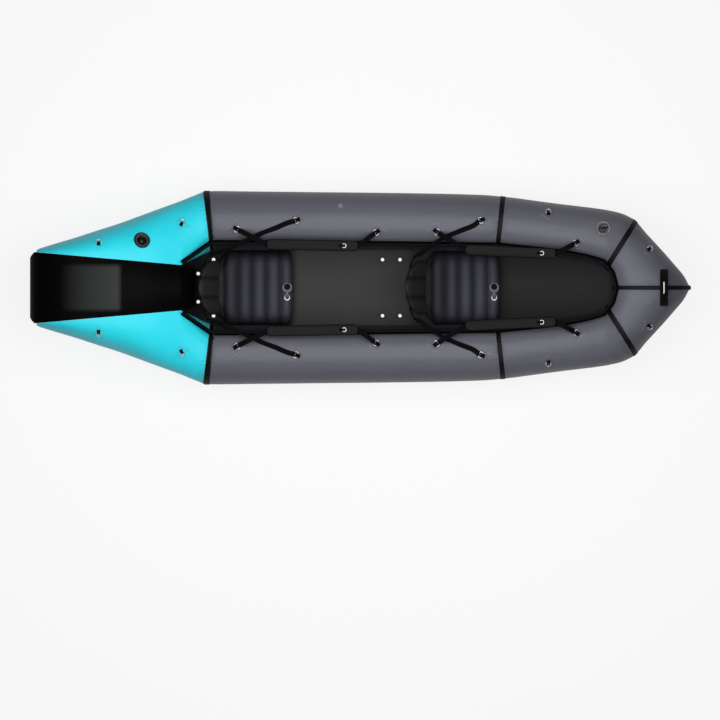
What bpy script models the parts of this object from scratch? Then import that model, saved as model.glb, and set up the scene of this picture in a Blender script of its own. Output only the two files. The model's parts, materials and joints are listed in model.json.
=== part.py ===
"""Two-person self-bailing packraft: an inflated hull of seamed chambers, its seats, straps, valves and rings.

Metres. +X points to the bow, +Y to the left (port) side and +Z up. The origin is under the middle of the boat,
on the ground that its floor sheet lies on. Everything that both sides share is made on the left and mirrored.
"""

import math

import bmesh
import bpy
import numpy as np
from mathutils import Matrix, Vector
from mathutils.bvhtree import BVHTree

MM = 0.001

# Whole boat
LENGTH = 3250 * MM
BEAM = 954 * MM
BOW_RISE = 175 * MM
TUBE_WIDTH = 293 * MM
TUBE_HEIGHT = 345 * MM
STERN_LIFT = 192 * MM
STERN_HEIGHT = TUBE_HEIGHT + STERN_LIFT
HALF_LENGTH = LENGTH / 2
HALF_BEAM = BEAM / 2

# Fits and skins
FIT = 0.4 * MM
SEAM_GAP = 0.3 * MM
SEAM_BAND = 27 * MM
TAPE_THICKNESS = 1.2 * MM
CENTRE_TAPE_WIDTH = 20.6 * MM
PATCH_THICKNESS = 1.0 * MM
FLOOR_THICKNESS = 3 * MM
TAPE_OUT = FIT + TAPE_THICKNESS
PATCH_OUT = FIT + PATCH_THICKNESS
CUT_OVERRUN = 20 * MM
HULL_BASE = FLOOR_THICKNESS + FIT

# Hull sections
RING_POINTS = 28
TUBE_SQUARENESS = 2.3
STERN_SQUARENESS = 2.5
CREASE_POINT = 11

# Stations of one side's tube from the stern joint to the bow's centre seam. Each has its outermost point as
# shares of half the length and half the beam, its innermost point's share of half the length, its width and
# height as shares of the tube's, its rise as a share of the bow's rise, and its backward lean in degrees.
TUBE_STATION_SHARES = (
    (-0.4705, 0.997, -0.4466, 0.990, 0.957, 0.000, 0.0),
    (-0.4372, 0.997, -0.4251, 0.990, 1.000, 0.000, 0.0),
    (-0.1831, 0.987, -0.1740, 0.973, 1.000, 0.000, 0.0),
    (0.1195, 0.976, 0.1195, 0.9615, 1.000, 0.000, 0.0),
    (0.3313, 0.961, 0.3192, 0.948, 1.000, 0.000, 0.0),
    (0.4312, 0.940, 0.4130, 0.923, 1.000, 0.000, 0.0),
    (0.5129, 0.904, 0.4826, 0.898, 0.993, 0.085, 6.0),
    (0.6036, 0.863, 0.5582, 0.873, 0.972, 0.250, 9.0),
    (0.7247, 0.811, 0.6551, 0.864, 0.943, 0.530, 12.0),
    (0.7852, 0.770, 0.7005, 0.856, 0.949, 0.662, 13.5),
    (0.8154, 0.729, 0.7247, 0.839, 0.952, 0.737, 14.5),
    (0.8336, 0.688, 0.7428, 0.797, 0.965, 0.786, 15.0),
    (0.8608, 0.579, 0.7474, 0.680, 0.998, 0.806, 12.0),
    (0.8911, 0.466, 0.7510, 0.562, 1.018, 0.840, 9.0),
    (0.9213, 0.353, 0.7531, 0.4447, 1.033, 0.874, 6.0),
    (0.9516, 0.234, 0.7543, 0.307, 1.040, 0.914, 3.5),
    (0.9788, 0.124, 0.7549, 0.173, 1.032, 0.960, 1.0),
    (0.9979, 0.0, 0.7555, 0.0, 1.0185, 1.000, 0.0),
    (1.0000, 0.0, 0.7555, 0.0, 1.0185, 1.000, 0.0),
)
FORE_JOINT_SHARE = 0.4312
BOW_JOINT_SHARE = 0.8336
STATION_PLACE_SHARES = [row[0] for row in TUBE_STATION_SHARES]
STERN_JOINT = 0
FORE_JOINT = STATION_PLACE_SHARES.index(FORE_JOINT_SHARE)
BOW_JOINT = STATION_PLACE_SHARES.index(BOW_JOINT_SHARE)
CENTRE_SEAM = len(TUBE_STATION_SHARES) - 1
TAPE_EDGE_STATION = CENTRE_SEAM - 1

# Stern chamber: place along half the length, half width as a share of half the beam, and its bottom, deck seam
# and the deck's crown above the seam as shares of the stern's height.
STERN_STATION_SHARES = (
    (-1.0000, 0.304, 0.493, 0.626, 0.008),
    (-0.9982, 0.320, 0.434, 0.695, 0.013),
    (-0.9939, 0.342, 0.377, 0.757, 0.017),
    (-0.9864, 0.369, 0.335, 0.800, 0.020),
    (-0.9758, 0.397, 0.298, 0.835, 0.022),
    (-0.9637, 0.412, 0.268, 0.865, 0.022),
    (-0.9395, 0.438, 0.202, 0.906, 0.024),
    (-0.9092, 0.469, 0.150, 0.938, 0.026),
    (-0.8638, 0.515, 0.085, 0.964, 0.029),
    (-0.8033, 0.582, 0.032, 0.967, 0.0355),
    (-0.7277, 0.665, 0.002, 0.933, 0.042),
    (-0.6369, 0.778, 0.000, 0.868, 0.050),
    (-0.5431, 0.895, 0.000, 0.738, 0.068),
)
DECK_SEAM_SHARES = ((-0.9849, 0.368), (-0.5431, 0.234))
SIDE_BODY_STATION_SHARES = (-0.9800, -0.9740, *(row[0] for row in STERN_STATION_SHARES[5:]))
# Front of the deck body: place, half width, bottom and top, as shares of half the length, the seam's half width
# at the cockpit and the deck's height there.
DECK_NOSE_SHARES = (
    (-0.5250, 0.965, 0.000, 0.935),
    (-0.5098, 0.895, 0.025, 0.790),
    (-0.5008, 0.790, 0.130, 0.580),
)
SHOULDER_STEPS_SHARES = (0.35, 0.70)

# Cockpit coaming: its route as shares of half the length and half the beam, and how far its top climbs above
# its height amidships, as a share of the bow's rise.
COAMING_RISE = 33.6 * MM
COAMING_TOP = HULL_BASE + TUBE_HEIGHT + COAMING_RISE
COAMING_WALL = 5 * MM
COAMING_HEM = 15 * MM
COAMING_HEM_DEPTH = 11 * MM
COAMING_SINK = 16 * MM
COAMING_ROUTE_SHARES = (
    (-0.5390, 0.2515, 0.262),
    (-0.4932, 0.3600, 0.098),
    (-0.4520, 0.4560, 0.0175),
    (-0.4350, 0.4590, 0.0045),
    (-0.1831, 0.4540, 0.0),
    (0.1195, 0.4454, 0.0),
    (0.4160, 0.4330, 0.0),
    (0.5129, 0.3990, 0.120),
    (0.6036, 0.3629, 0.3055),
    (0.6793, 0.3165, 0.480),
    (0.7337, 0.2650, 0.572),
    (0.7610, 0.1500, 0.620),
    (0.7731, 0.0, 0.6375),
)

# Floor sheet: place and half width as shares of half the length and half the beam.
SHEET_OUTLINE_SHARES = (
    (-0.722, 0.420),
    (-0.705, 0.540),
    (-0.668, 0.620),
    (-0.543, 0.680),
    (-0.437, 0.712),
    (0.120, 0.712),
    (0.400, 0.694),
    (0.440, 0.684),
    (0.480, 0.670),
    (0.520, 0.655),
    (0.560, 0.636),
    (0.620, 0.603),
    (0.680, 0.560),
    (0.740, 0.500),
    (0.800, 0.400),
    (0.840, 0.270),
    (0.862, 0.120),
)
DRAIN_DIAMETER = 18 * MM
DRAIN_SHARES = ((-0.4445, 0.2897), (-0.4911, 0.1454), (0.0666, 0.2890), (0.1195, 0.2890))

# Seats: the rear one stands ahead of the deck, and the front one's front edge is a share of half the length
SEATS = ("rear", "front")
SEAT_DECK_GAP = 91 * MM
FRONT_SEAT_SHARE = 0.4221
SEAT_LENGTH = 391 * MM
SEAT_SIDE_CLEARANCE = 3 * MM
SEAT_HEIGHT = 92 * MM
SEAT_RIBS = 6
SEAT_RIB_PITCH = 69.5 * MM
SEAT_CHANNEL_DEPTH = 20 * MM
SEAT_DRAWN_IN = 6 * MM
SEAT_BACK_ROUND = 86 * MM
SEAT_CORNER = 38 * MM
SEAT_FRONT_ROLL = 24 * MM
SEAT_BACK_ROLL = 12 * MM
SEAT_SQUARENESS = 3.6
RIB_STEPS_SHARES = (-0.5, -0.32, 0.0, 0.32)
RIB_ROUNDNESS_SHARE = 0.6

# Seat valves
SEAT_VALVE_RADIUS = 24 * MM
SEAT_VALVE_BORE = 12 * MM
SEAT_VALVE_LIP = 1 * MM
SEAT_VALVE_DEPTH = 14 * MM
PLUG_DISC_RADIUS = 14 * MM
PLUG_STEM_RADIUS = 9.5 * MM
PLUG_DISC_THICKNESS = 2.4 * MM
PLUG_STEM_LENGTH = 4 * MM
PLUG_STRAP_WIDTH = 11 * MM
PLUG_STRAP_THICKNESS = 1.2 * MM
PLUG_HINGE_RISE = 2 * MM
PLUG_HINGE_GAP = 0.6 * MM

# Backrests
BACKREST_HEIGHT = 335 * MM
BACKREST_SIDE_CLEARANCE = 46 * MM
BACKREST_THICKNESS = 34 * MM
BACKREST_LEAN = 15.5
BACKREST_SETTLE = 0.2 * MM
BACKREST_WRAP = 10 * MM
BACKREST_SQUARENESS = 2.6
BACKREST_STATION_SHARES = (0.0, 0.03, 0.10, 0.25, 0.40, 0.55, 0.68, 0.79, 0.88, 0.95, 0.985)

# Thigh straps: ends of each padded strip as shares of half the length and half the beam
PAD_END_SHARES = {
    "rear": ((-0.2820, 0.4464), (-0.0088, 0.4299)),
    "front": ((0.3183, 0.3928), (0.5891, 0.3485)),
}
PAD_WIDTH = 48 * MM
PAD_THICKNESS = 7 * MM
PAD_DROOP = 5 * MM
PAD_STATION_SHARES = (0.0, 0.02, 0.06, 0.2, 0.4, 0.6, 0.8, 0.94, 0.98, 1.0)
WEBBING_WIDTH = 25 * MM
WEBBING_THICKNESS = 2 * MM
WEBBING_LIFT = 8.5 * MM

# Strap anchors: place, and the heading of the strap that leaves it, in degrees from the bow
ANCHOR_PLACES = {
    "thigh_rear_back": ((-0.3767, 0.6113), -30),
    "thigh_rear_front": ((0.0499, 0.5794), -145),
    "backrest_rear": ((-0.1915, 0.6979), -158),
    "thigh_front_back": ((0.2284, 0.5845), -36),
    "thigh_front_front": ((0.6551, 0.4711), -145),
    "backrest_front": ((0.3676, 0.6979), -158),
}
LOOP_LENGTH = 14 * MM
LOOP_WIDTH = 30 * MM
LOOP_WIRE = 1.6 * MM
LOOP_CORNER = 4 * MM
ANCHOR_PATCH = 58 * MM

# Tie-down rings
RING_PLACES = {
    "stern": (-0.7924, 0.4567),
    "shoulder": (-0.5413, 0.6619),
    "fore": (0.5688, 0.7701),
    "bow": (0.8729, 0.3938),
}
D_RING_WIDTH = 27 * MM
D_RING_REACH = 22 * MM
D_RING_WIRE = 2 * MM
D_RING_DROOP = 5.0
D_RING_FULLNESS_SHARE = 0.8
RING_PATCH = 56 * MM
TAB_LENGTH = 17 * MM
TAB_WALL = 1.6 * MM
TAB_FOOT = 4 * MM
BAR_CLEARANCE = 0.5 * MM

# Inflation valves: place, and the flange's radius
MAIN_VALVES = {
    "stern_valve": ((-0.6611, 0.4918), 40 * MM),
    "fore_valve": ((0.7349, 0.6134), 37 * MM),
}
VALVE_RIM_RISE = 3 * MM
VALVE_RIM_DEPTH = 9 * MM
VALVE_BODY_DEPTH = 25 * MM
VALVE_RIM_BAND = 7 * MM
VALVE_CUP_DEPTH = 14 * MM
VALVE_STEM_RADIUS = 4 * MM
VALVE_BUTTON_RADIUS = 11 * MM
VALVE_TRAVEL = 3 * MM
VALVE_WALL = 3 * MM
TOP_UP_PLACE = (-0.0611, 0.8464)
TOP_UP_RADIUS = 12.5 * MM
TOP_UP_HEIGHT = 9 * MM
TOP_UP_NECK_SHARE = 0.70
TOP_UP_CAP_SHARE = 0.62

# Bow handle
HANDLE_PLACE_SHARE = 0.9183
HANDLE_WIDTH = 39 * MM
HANDLE_SPAN = 178 * MM
HANDLE_THICKNESS = 4 * MM
HANDLE_RISE = 41 * MM
HANDLE_SQUARENESS = 3.2
HANDLE_SPREAD_SHARE = 0.6

COLOURS = {
    "turquoise_fabric": ((0.040, 0.640, 0.780), 0.45, 0.0),
    "grey_fabric": ((0.085, 0.085, 0.106), 0.50, 0.0),
    "black_fabric": ((0.006, 0.006, 0.006), 0.55, 0.0),
    "black_tape": ((0.003, 0.003, 0.003), 0.50, 0.0),
    "floor_fabric": ((0.050, 0.050, 0.050), 0.60, 0.0),
    "seat_fabric": ((0.050, 0.050, 0.062), 0.50, 0.0),
    "webbing": ((0.004, 0.004, 0.004), 0.80, 0.0),
    "pad_fabric": ((0.018, 0.018, 0.018), 0.70, 0.0),
    "steel": ((0.700, 0.700, 0.720), 0.15, 1.0),
    "black_plastic": ((0.010, 0.010, 0.012), 0.40, 0.0),
    "grey_plastic": ((0.120, 0.110, 0.120), 0.40, 0.0),
    "pale_plastic": ((0.600, 0.600, 0.620), 0.40, 0.0),
}


def clear_scene():
    for obj in list(bpy.data.objects):
        bpy.data.objects.remove(obj)


def material(name):
    found = bpy.data.materials.get(name)
    if found:
        return found
    colour, roughness, metallic = COLOURS[name]
    made = bpy.data.materials.new(name)
    made.use_nodes = True
    shader = made.node_tree.nodes["Principled BSDF"]
    shader.inputs["Base Color"].default_value = (*colour, 1)
    shader.inputs["Roughness"].default_value = roughness
    shader.inputs["Metallic"].default_value = metallic
    made.diffuse_color = (*colour, 1)
    return made


# Meshes


def link_mesh(name, mesh, slot, smooth=True):
    obj = bpy.data.objects.new(name, mesh)
    bpy.context.collection.objects.link(obj)
    mesh.materials.clear()
    mesh.materials.append(material(slot))
    if smooth:
        mesh.shade_smooth()
        mesh.set_sharp_from_angle(angle=math.radians(40))
    return obj


def make_solid(name, points, faces, slot, smooth=True):
    """One closed body, or several that don't meet, with every face turned outward."""
    mesh = bpy.data.meshes.new(name)
    mesh.from_pydata([tuple(p) for p in points], [], faces)
    shape = bmesh.new()
    shape.from_mesh(mesh)
    bmesh.ops.recalc_face_normals(shape, faces=shape.faces)
    shape.to_mesh(mesh)
    shape.free()
    return link_mesh(name, mesh, slot, smooth)


def loft_faces(stations, count, start=0, closed=False):
    faces = []
    spans = stations if closed else stations - 1
    for i in range(spans):
        low = start + i * count
        high = start + (i + 1) % stations * count
        for k in range(count):
            m = (k + 1) % count
            faces.append((low + k, low + m, high + m, high + k))
    if not closed:
        faces.append(tuple(range(start, start + count)))
        faces.append(tuple(start + (stations - 1) * count + k for k in range(count)))
    return faces


def loft(name, rings, slot, closed=False, smooth=True):
    points = [p for ring in rings for p in ring]
    return make_solid(name, points, loft_faces(len(rings), len(rings[0]), 0, closed), slot, smooth)


def shell(name, inner, outer, slot, wraps):
    """A skin between two like sets of rings. It closes on itself round each ring where it wraps."""
    stations = len(inner)
    count = len(inner[0])
    points = [p for ring in inner for p in ring] + [p for ring in outer for p in ring]
    far = stations * count
    faces = []
    spans = count if wraps else count - 1
    for i in range(stations - 1):
        for k in range(spans):
            a = i * count + k
            b = i * count + (k + 1) % count
            faces.append((a, b, b + count, a + count))
            faces.append((far + a, far + a + count, far + b + count, far + b))
    for k in range(spans):
        m = (k + 1) % count
        last = (stations - 1) * count
        faces.append((k, far + k, far + m, m))
        faces.append((last + k, last + m, far + last + m, far + last + k))
    if not wraps:
        for i in range(stations - 1):
            for k in (0, count - 1):
                a = i * count + k
                faces.append((a, a + count, far + a + count, far + a))
    return make_solid(name, points, faces, slot)


def revolve(profile, segments):
    """Rings of a closed profile of (radius, height) turned about +Z."""
    rings = []
    for i in range(segments):
        angle = math.tau * i / segments
        rings.append([Vector((r * math.cos(angle), r * math.sin(angle), h)) for r, h in profile])
    return rings


def lathe(name, profile, slot, segments):
    """A solid of revolution about +Z from a profile of (radius, height) that starts and ends on the axis."""
    bottom = Vector((0, 0, profile[0][1]))
    top = Vector((0, 0, profile[-1][1]))
    rings = [
        [
            Vector((r * math.cos(math.tau * i / segments), r * math.sin(math.tau * i / segments), h))
            for i in range(segments)
        ]
        for r, h in profile[1:-1]
    ]
    points = [p for ring in rings for p in ring] + [bottom, top]
    faces = loft_faces(len(rings), segments)[:-2]
    low = len(points) - 2
    last = (len(rings) - 1) * segments
    for k in range(segments):
        m = (k + 1) % segments
        faces.append((low, m, k))
        faces.append((low + 1, last + k, last + m))
    return make_solid(name, points, faces, slot)


def wire(path, radius, sides, up):
    """Rings of a round wire along a closed path that lies in the plane square to up."""
    rings = []
    count = len(path)
    for i, point in enumerate(path):
        along = (path[(i + 1) % count] - path[i - 1]).normalized()
        across = along.cross(up).normalized()
        rings.append(
            [
                point
                + radius * (math.cos(math.tau * k / sides) * across + math.sin(math.tau * k / sides) * up)
                for k in range(sides)
            ]
        )
    return rings


def ribbon_rings(points, ups, width, thickness):
    """Rings of flat webbing along a line of points, each with the direction that its face looks."""
    rings = []
    last = len(points) - 1
    for i, point in enumerate(points):
        along = (points[min(i + 1, last)] - points[max(i - 1, 0)]).normalized()
        across = along.cross(ups[i]).normalized()
        up = across.cross(along).normalized()
        rings.append([point + across * (width / 2) * u + up * (thickness / 2) * v for u, v in CORNERS])
    return rings


CORNERS = ((-1, -1), (1, -1), (1, 1), (-1, 1))


def baked(obj):
    """The object with its modifiers worked into its mesh."""
    graph = bpy.context.evaluated_depsgraph_get()
    mesh = bpy.data.meshes.new_from_object(obj.evaluated_get(graph))
    obj.modifiers.clear()
    obj.data = mesh
    return obj


def cut(obj, tool, operation="DIFFERENCE"):
    modifier = obj.modifiers.new("cut", "BOOLEAN")
    modifier.operation = operation
    modifier.object = tool
    modifier.solver = "EXACT"
    return baked(obj)


def helper(obj):
    """Marks a cutting tool, which is no piece of the boat."""
    obj.hide_render = True
    obj.display_type = "WIRE"
    return obj


def mirrored(obj, name):
    """The same piece on the other side of the boat."""
    mesh = obj.data.copy()
    for vertex in mesh.vertices:
        vertex.co.y = -vertex.co.y
    mesh.flip_normals()
    copy = bpy.data.objects.new(name, mesh)
    copy.location = obj.location * Vector((1, -1, 1))
    bpy.context.collection.objects.link(copy)
    return copy


def united(pieces, name):
    """Pieces that are sewn or welded to one another, as one body."""
    whole = pieces[0]
    for piece in pieces[1:]:
        whole = cut(whole, piece, "UNION")
        bpy.data.objects.remove(piece)
    whole.name = name
    return whole


def both_sides(obj, base):
    obj.name = base + "_left"
    return obj, mirrored(obj, base + "_right")


def set_origin(obj, place):
    """Moves the object's origin to its joint's axis without moving the piece."""
    place = Vector(place)
    obj.data.transform(Matrix.Translation(-place))
    obj.location = place
    return obj


# Hull surface


def power(value, exponent):
    return math.copysign(abs(value) ** exponent, value)


def table_value(table, place, column):
    return float(np.interp(place, [row[0] for row in table], [row[column] for row in table]))


def tube_station(place):
    """The tube's station numbers between two listed ones, on a smooth curve through them."""
    last = len(TUBE_STATION_SHARES) - 1
    low = min(int(place), last - 1)
    t = place - low
    rows = [np.array(TUBE_STATION_SHARES[min(max(low + k, 0), last)]) for k in (-1, 0, 1, 2)]
    curve = 2 * rows[1] + (rows[2] - rows[0]) * t
    curve += (2 * rows[0] - 5 * rows[1] + 4 * rows[2] - rows[3]) * t**2
    curve += (3 * rows[1] - rows[0] - 3 * rows[2] + rows[3]) * t**3
    return curve / 2


def tube_frame(place):
    """Centre, half width, half height and the two directions of the tube's section at a station."""
    outer_x, outer_y, inner_x, width, height, rise, lean = tube_station(place)
    seam = SEAM_GAP / 2
    if place >= TAPE_EDGE_STATION:
        seam += CENTRE_TAPE_WIDTH / 2 * (CENTRE_SEAM - place)
    low_y = max(outer_y * HALF_BEAM - width * TUBE_WIDTH, seam)
    outer = Vector((outer_x * (HALF_LENGTH - TAPE_OUT), max(outer_y * HALF_BEAM, seam), 0))
    inner = Vector((inner_x * HALF_LENGTH, low_y, 0))
    half = (outer - inner) / 2
    bottom = HULL_BASE + max(rise, 0) * BOW_RISE
    tilt = math.radians(lean)
    if place >= TAPE_EDGE_STATION:
        tilt = 0.0
    tall = height * TUBE_HEIGHT
    centre = (outer + inner) / 2 + Vector((0, 0, bottom + tall / 2))
    across = half.normalized()
    ahead = Vector((across.y, -across.x, 0))
    up = Vector((0, 0, math.cos(tilt))) - ahead * math.sin(tilt)
    return centre, half.length, tall / 2 / math.cos(tilt), across, up


def tube_ring(place, grow=0.0):
    centre, wide, tall, across, up = tube_frame(place)
    shape = 2 / TUBE_SQUARENESS
    ring = []
    for k in range(RING_POINTS):
        angle = math.tau * k / RING_POINTS
        ring.append(
            centre
            + across * (wide + grow) * power(math.cos(angle), shape)
            + up * (tall + grow) * power(math.sin(angle), shape)
        )
    return ring


STATION_STEP_SHARE = 0.05


def station_step(place, distance):
    """How far along the station numbers a distance on the tube's centre line reaches."""
    small = STATION_STEP_SHARE
    side = small if distance > 0 else -small
    run = (tube_frame(place + side)[0] - tube_frame(place)[0]).length
    return distance / run * small


def stern_values(place):
    """Half width, bottom, deck seam height and crown of the stern at a share of half the length."""
    half = table_value(STERN_STATION_SHARES, place, 1) * HALF_BEAM
    room = STERN_HEIGHT - HULL_BASE
    low, seam, crown = (table_value(STERN_STATION_SHARES, place, c) for c in (2, 3, 4))
    return half, HULL_BASE + low * room, seam * STERN_HEIGHT, crown * STERN_HEIGHT


def seam_half(place):
    return table_value(DECK_SEAM_SHARES, place, 1) * HALF_BEAM


def side_body_ring(place, grow=0.0):
    """Section of the turquoise body outboard of the deck seam: flat inside, rounded outside."""
    half, bottom, top, _ = stern_values(place)
    inner = seam_half(place) + SEAM_GAP / 2 - grow
    wide = half + grow - inner
    top += grow
    bottom -= grow
    middle = (top + bottom) / 2
    tall = (top - bottom) / 2
    shape = 2 / STERN_SQUARENESS
    ring = []
    for k in range(RING_POINTS):
        turn = k if k <= RING_POINTS / 2 else k - RING_POINTS
        if abs(turn) <= CREASE_POINT:
            angle = math.pi / 2 * turn / CREASE_POINT
            y = inner + wide * power(math.cos(angle), shape)
            z = middle + tall * power(math.sin(angle), shape)
        else:
            span = RING_POINTS - 2 * CREASE_POINT
            y = inner
            z = top - (top - bottom) * (k - CREASE_POINT) / span
        ring.append(Vector((place * HALF_LENGTH, y, z)))
    return ring


def shoulder_ring(share, grow=0.0):
    """Section between the end of the deck, at share 0, and the stern joint, at share 1."""
    start = side_body_ring(STERN_STATION_SHARES[-1][0], grow)
    end = tube_ring(STERN_JOINT, grow)
    return [a.lerp(b, share) for a, b in zip(start, end)]


def shoulder_share(distance):
    """The share of the shoulder that lies this far behind the stern joint, measured on its centre line."""
    start = sum(side_body_ring(STERN_STATION_SHARES[-1][0]), Vector()) / RING_POINTS
    end = sum(tube_ring(STERN_JOINT), Vector()) / RING_POINTS
    return 1 - distance / (end - start).length


def side_body_rings(grow=0.0, overrun=0.0):
    rings = [side_body_ring(place, grow) for place in SIDE_BODY_STATION_SHARES]
    shares = (*SHOULDER_STEPS_SHARES, shoulder_share(SEAM_BAND / 2), shoulder_share(SEAM_GAP / 2))
    rings += [shoulder_ring(share, grow) for share in shares]
    if overrun:
        rings[0] = [p - Vector((grow, 0, 0)) for p in rings[0]]
        rings.append([p + Vector((overrun, 0, 0)) for p in rings[-1]])
    return rings


def tube_places(start, end):
    """Stations of a chamber between two joints, with one under each tape's edge."""
    places = [start + station_step(start, SEAM_GAP / 2), start + station_step(start, SEAM_BAND / 2)]
    places += [p for p in range(start + 1, end) if p > places[-1]]
    if end < CENTRE_SEAM:
        places += [end + station_step(end, -SEAM_BAND / 2), end + station_step(end, -SEAM_GAP / 2)]
    else:
        places.append(end)
    return sorted(places)


def whole_tube_rings(grow):
    """One side's tube from stern joint to centre seam, run past both ends, for use as a cutting tool."""
    places = []
    for start, end in ((STERN_JOINT, FORE_JOINT), (FORE_JOINT, BOW_JOINT), (BOW_JOINT, CENTRE_SEAM)):
        places += tube_places(start, end)
    rings = [tube_ring(place, grow) for place in places]
    first = [p - Vector((CUT_OVERRUN, 0, 0)) for p in rings[0]]
    last = [p - Vector((0, CUT_OVERRUN, 0)) for p in rings[-1]]
    return [first, *rings, last]


class Hull:
    """The left side's surface, for setting pieces on it, with grown copies for cutting pieces to fit it."""

    def __init__(self):
        self.tools = {}
        tube, body = self.grown(0.0)
        self.trees = [self.tree(tube), self.tree(body)]

    def grown(self, grow):
        if grow not in self.tools:
            tube = helper(loft("hull_tool", whole_tube_rings(grow), "grey_fabric"))
            body = helper(loft("hull_tool", side_body_rings(grow, CUT_OVERRUN), "grey_fabric"))
            self.tools[grow] = (tube, body)
        return self.tools[grow]

    @staticmethod
    def tree(obj):
        shape = bmesh.new()
        shape.from_mesh(obj.data)
        found = BVHTree.FromBMesh(shape)
        shape.free()
        return found

    def drop(self, x, y):
        """The highest point of the surface over a place in plan, and the way it faces. Where no surface lies
        below the place, it is the nearest point."""
        high = Vector((x, y, LENGTH))
        hits = [tree.ray_cast(high, Vector((0, 0, -1))) for tree in self.trees]
        hits = [hit for hit in hits if hit[0] is not None]
        if not hits:
            level = Vector((x, y, HULL_BASE + TUBE_HEIGHT))
            return min((tree.find_nearest(level) for tree in self.trees), key=lambda hit: hit[3])[:2]
        return max(hits, key=lambda hit: hit[0].z)[:2]

    def frame(self, shares, heading=None):
        """Point, normal, forward and sideways directions at a place given in shares. With no heading given,
        forward is downhill."""
        x, y = shares[0] * HALF_LENGTH, shares[1] * HALF_BEAM
        point, normal = self.drop(x, y)
        if heading is None:
            ahead = -Vector((0, 0, 1))
        else:
            ahead = Vector((math.cos(math.radians(heading)), math.sin(math.radians(heading)), 0))
        forward = (ahead - normal * ahead.dot(normal)).normalized()
        return point, normal, forward, normal.cross(forward)

    def seat(self, obj, grow, both=False):
        """Cuts the piece's foot to the surface, with the hull grown by a clearance."""
        for tool in self.grown(grow):
            obj = cut(obj, tool)
            if both:
                far = helper(mirrored(tool, "hull_tool_far"))
                obj = cut(obj, far)
                bpy.data.objects.remove(far)
        return obj

    def discard_tools(self):
        for tools in self.tools.values():
            for tool in tools:
                bpy.data.objects.remove(tool)


def local_to_world(frame, lift=0.0):
    """Matrix whose X is the frame's forward, Y its sideways and Z its normal."""
    point, normal, forward, side = frame
    matrix = Matrix((forward, side, normal)).transposed().to_4x4()
    matrix.translation = point + normal * lift
    return matrix


# Hull pieces


def stern_side_bodies():
    return both_sides(loft("stern_body", side_body_rings(), "turquoise_fabric"), "stern_chamber")


def deck_ring(place, half, bottom, seam, crown):
    """Section of the black centre body: flat sides and a crowned top."""
    across = (1.0, 0.75, 0.5, 0.25, 0.0, -0.25, -0.5, -0.75, -1.0)
    ring = [Vector((place * HALF_LENGTH, half * s, seam + crown * (1 - s**2))) for s in across]
    ring.append(Vector((place * HALF_LENGTH, -half, (seam + bottom) / 2)))
    ring += [Vector((place * HALF_LENGTH, half * s, bottom)) for s in (-1.0, 0.0, 1.0)]
    ring.append(Vector((place * HALF_LENGTH, half, (seam + bottom) / 2)))
    return ring


def deck_body():
    rings = []
    for row in STERN_STATION_SHARES:
        half, bottom, seam, crown = stern_values(row[0])
        rings.append(deck_ring(row[0], min(half, seam_half(row[0]) - SEAM_GAP / 2), bottom, seam, crown))
    end = STERN_STATION_SHARES[-1][0]
    _, _, seam, crown = stern_values(end)
    full = seam_half(end) - SEAM_GAP / 2
    for place, width, low, high in DECK_NOSE_SHARES:
        rings.append(deck_ring(place, full * width, HULL_BASE + low * seam, seam * high, crown * high))
    return loft("stern_deck", rings, "black_fabric")


def chamber(name, start, end, slot):
    return loft(name, [tube_ring(place) for place in tube_places(start, end)], slot)


def centre_tape():
    """Tape over the bow's centre seam, from the coaming over the nose and under to the floor sheet."""
    points = [k % RING_POINTS for k in range(BOW_TAPE_START, BOW_TAPE_END - 1, -1)]
    lines = []
    for grow in (FIT, TAPE_OUT):
        edge = tube_ring(TAPE_EDGE_STATION, grow)
        seam = tube_ring(CENTRE_SEAM, grow)
        left = [edge[k] for k in points]
        middle = [seam[k] * Vector((1, 0, 1)) for k in points]
        right = [edge[k] * Vector((1, -1, 1)) for k in points]
        lines.append([left, middle, right])
    return shell("bow_centre_tape", lines[0], lines[1], "black_tape", False)


BOW_TAPE_START = 11
BOW_TAPE_END = -7


def coaming_top(x):
    """Height of the coaming's top edge at a place along the boat."""
    places = [row[0] * HALF_LENGTH for row in COAMING_ROUTE_SHARES]
    return float(np.interp(x, places, [COAMING_TOP + row[2] * BOW_RISE for row in COAMING_ROUTE_SHARES]))


def coaming(hull):
    """Upstanding fabric wall round the cockpit with a rolled hem, cut to the tubes that it stands on."""
    near = [Vector((sx * HALF_LENGTH, sy * HALF_BEAM, 0)) for sx, sy, _ in COAMING_ROUTE_SHARES]
    tops = [COAMING_TOP + climb * BOW_RISE for _, _, climb in COAMING_ROUTE_SHARES]
    route = near + [point * Vector((1, -1, 1)) for point in near[-2::-1]]
    tops += tops[-2::-1]
    rings = []
    last = len(route) - 1
    for i, point in enumerate(route):
        along = (route[min(i + 1, last)] - route[max(i - 1, 0)]).normalized()
        across = Vector((-along.y, along.x, 0))
        top = tops[i]
        foot = hull.drop(point.x, max(abs(point.y), SEAM_GAP))[0].z - COAMING_SINK
        wall = COAMING_WALL / 2
        hem = COAMING_HEM / 2
        ring = []
        for offset, drop_share in COAMING_SECTION_SHARES:
            edge = Vector((point.x, point.y, top - COAMING_HEM_DEPTH * drop_share))
            ring.append(edge + across * hem * offset)
        for offset in (-wall, wall):
            ring.append(Vector((point.x, point.y, foot)) + across * offset)
        rings.append(ring)
    wall = loft("coaming", rings, "black_fabric")
    wall = hull.seat(wall, 2 * FIT, both=True)
    hull.coaming_tree = hull.tree(wall)
    return wall


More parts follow.
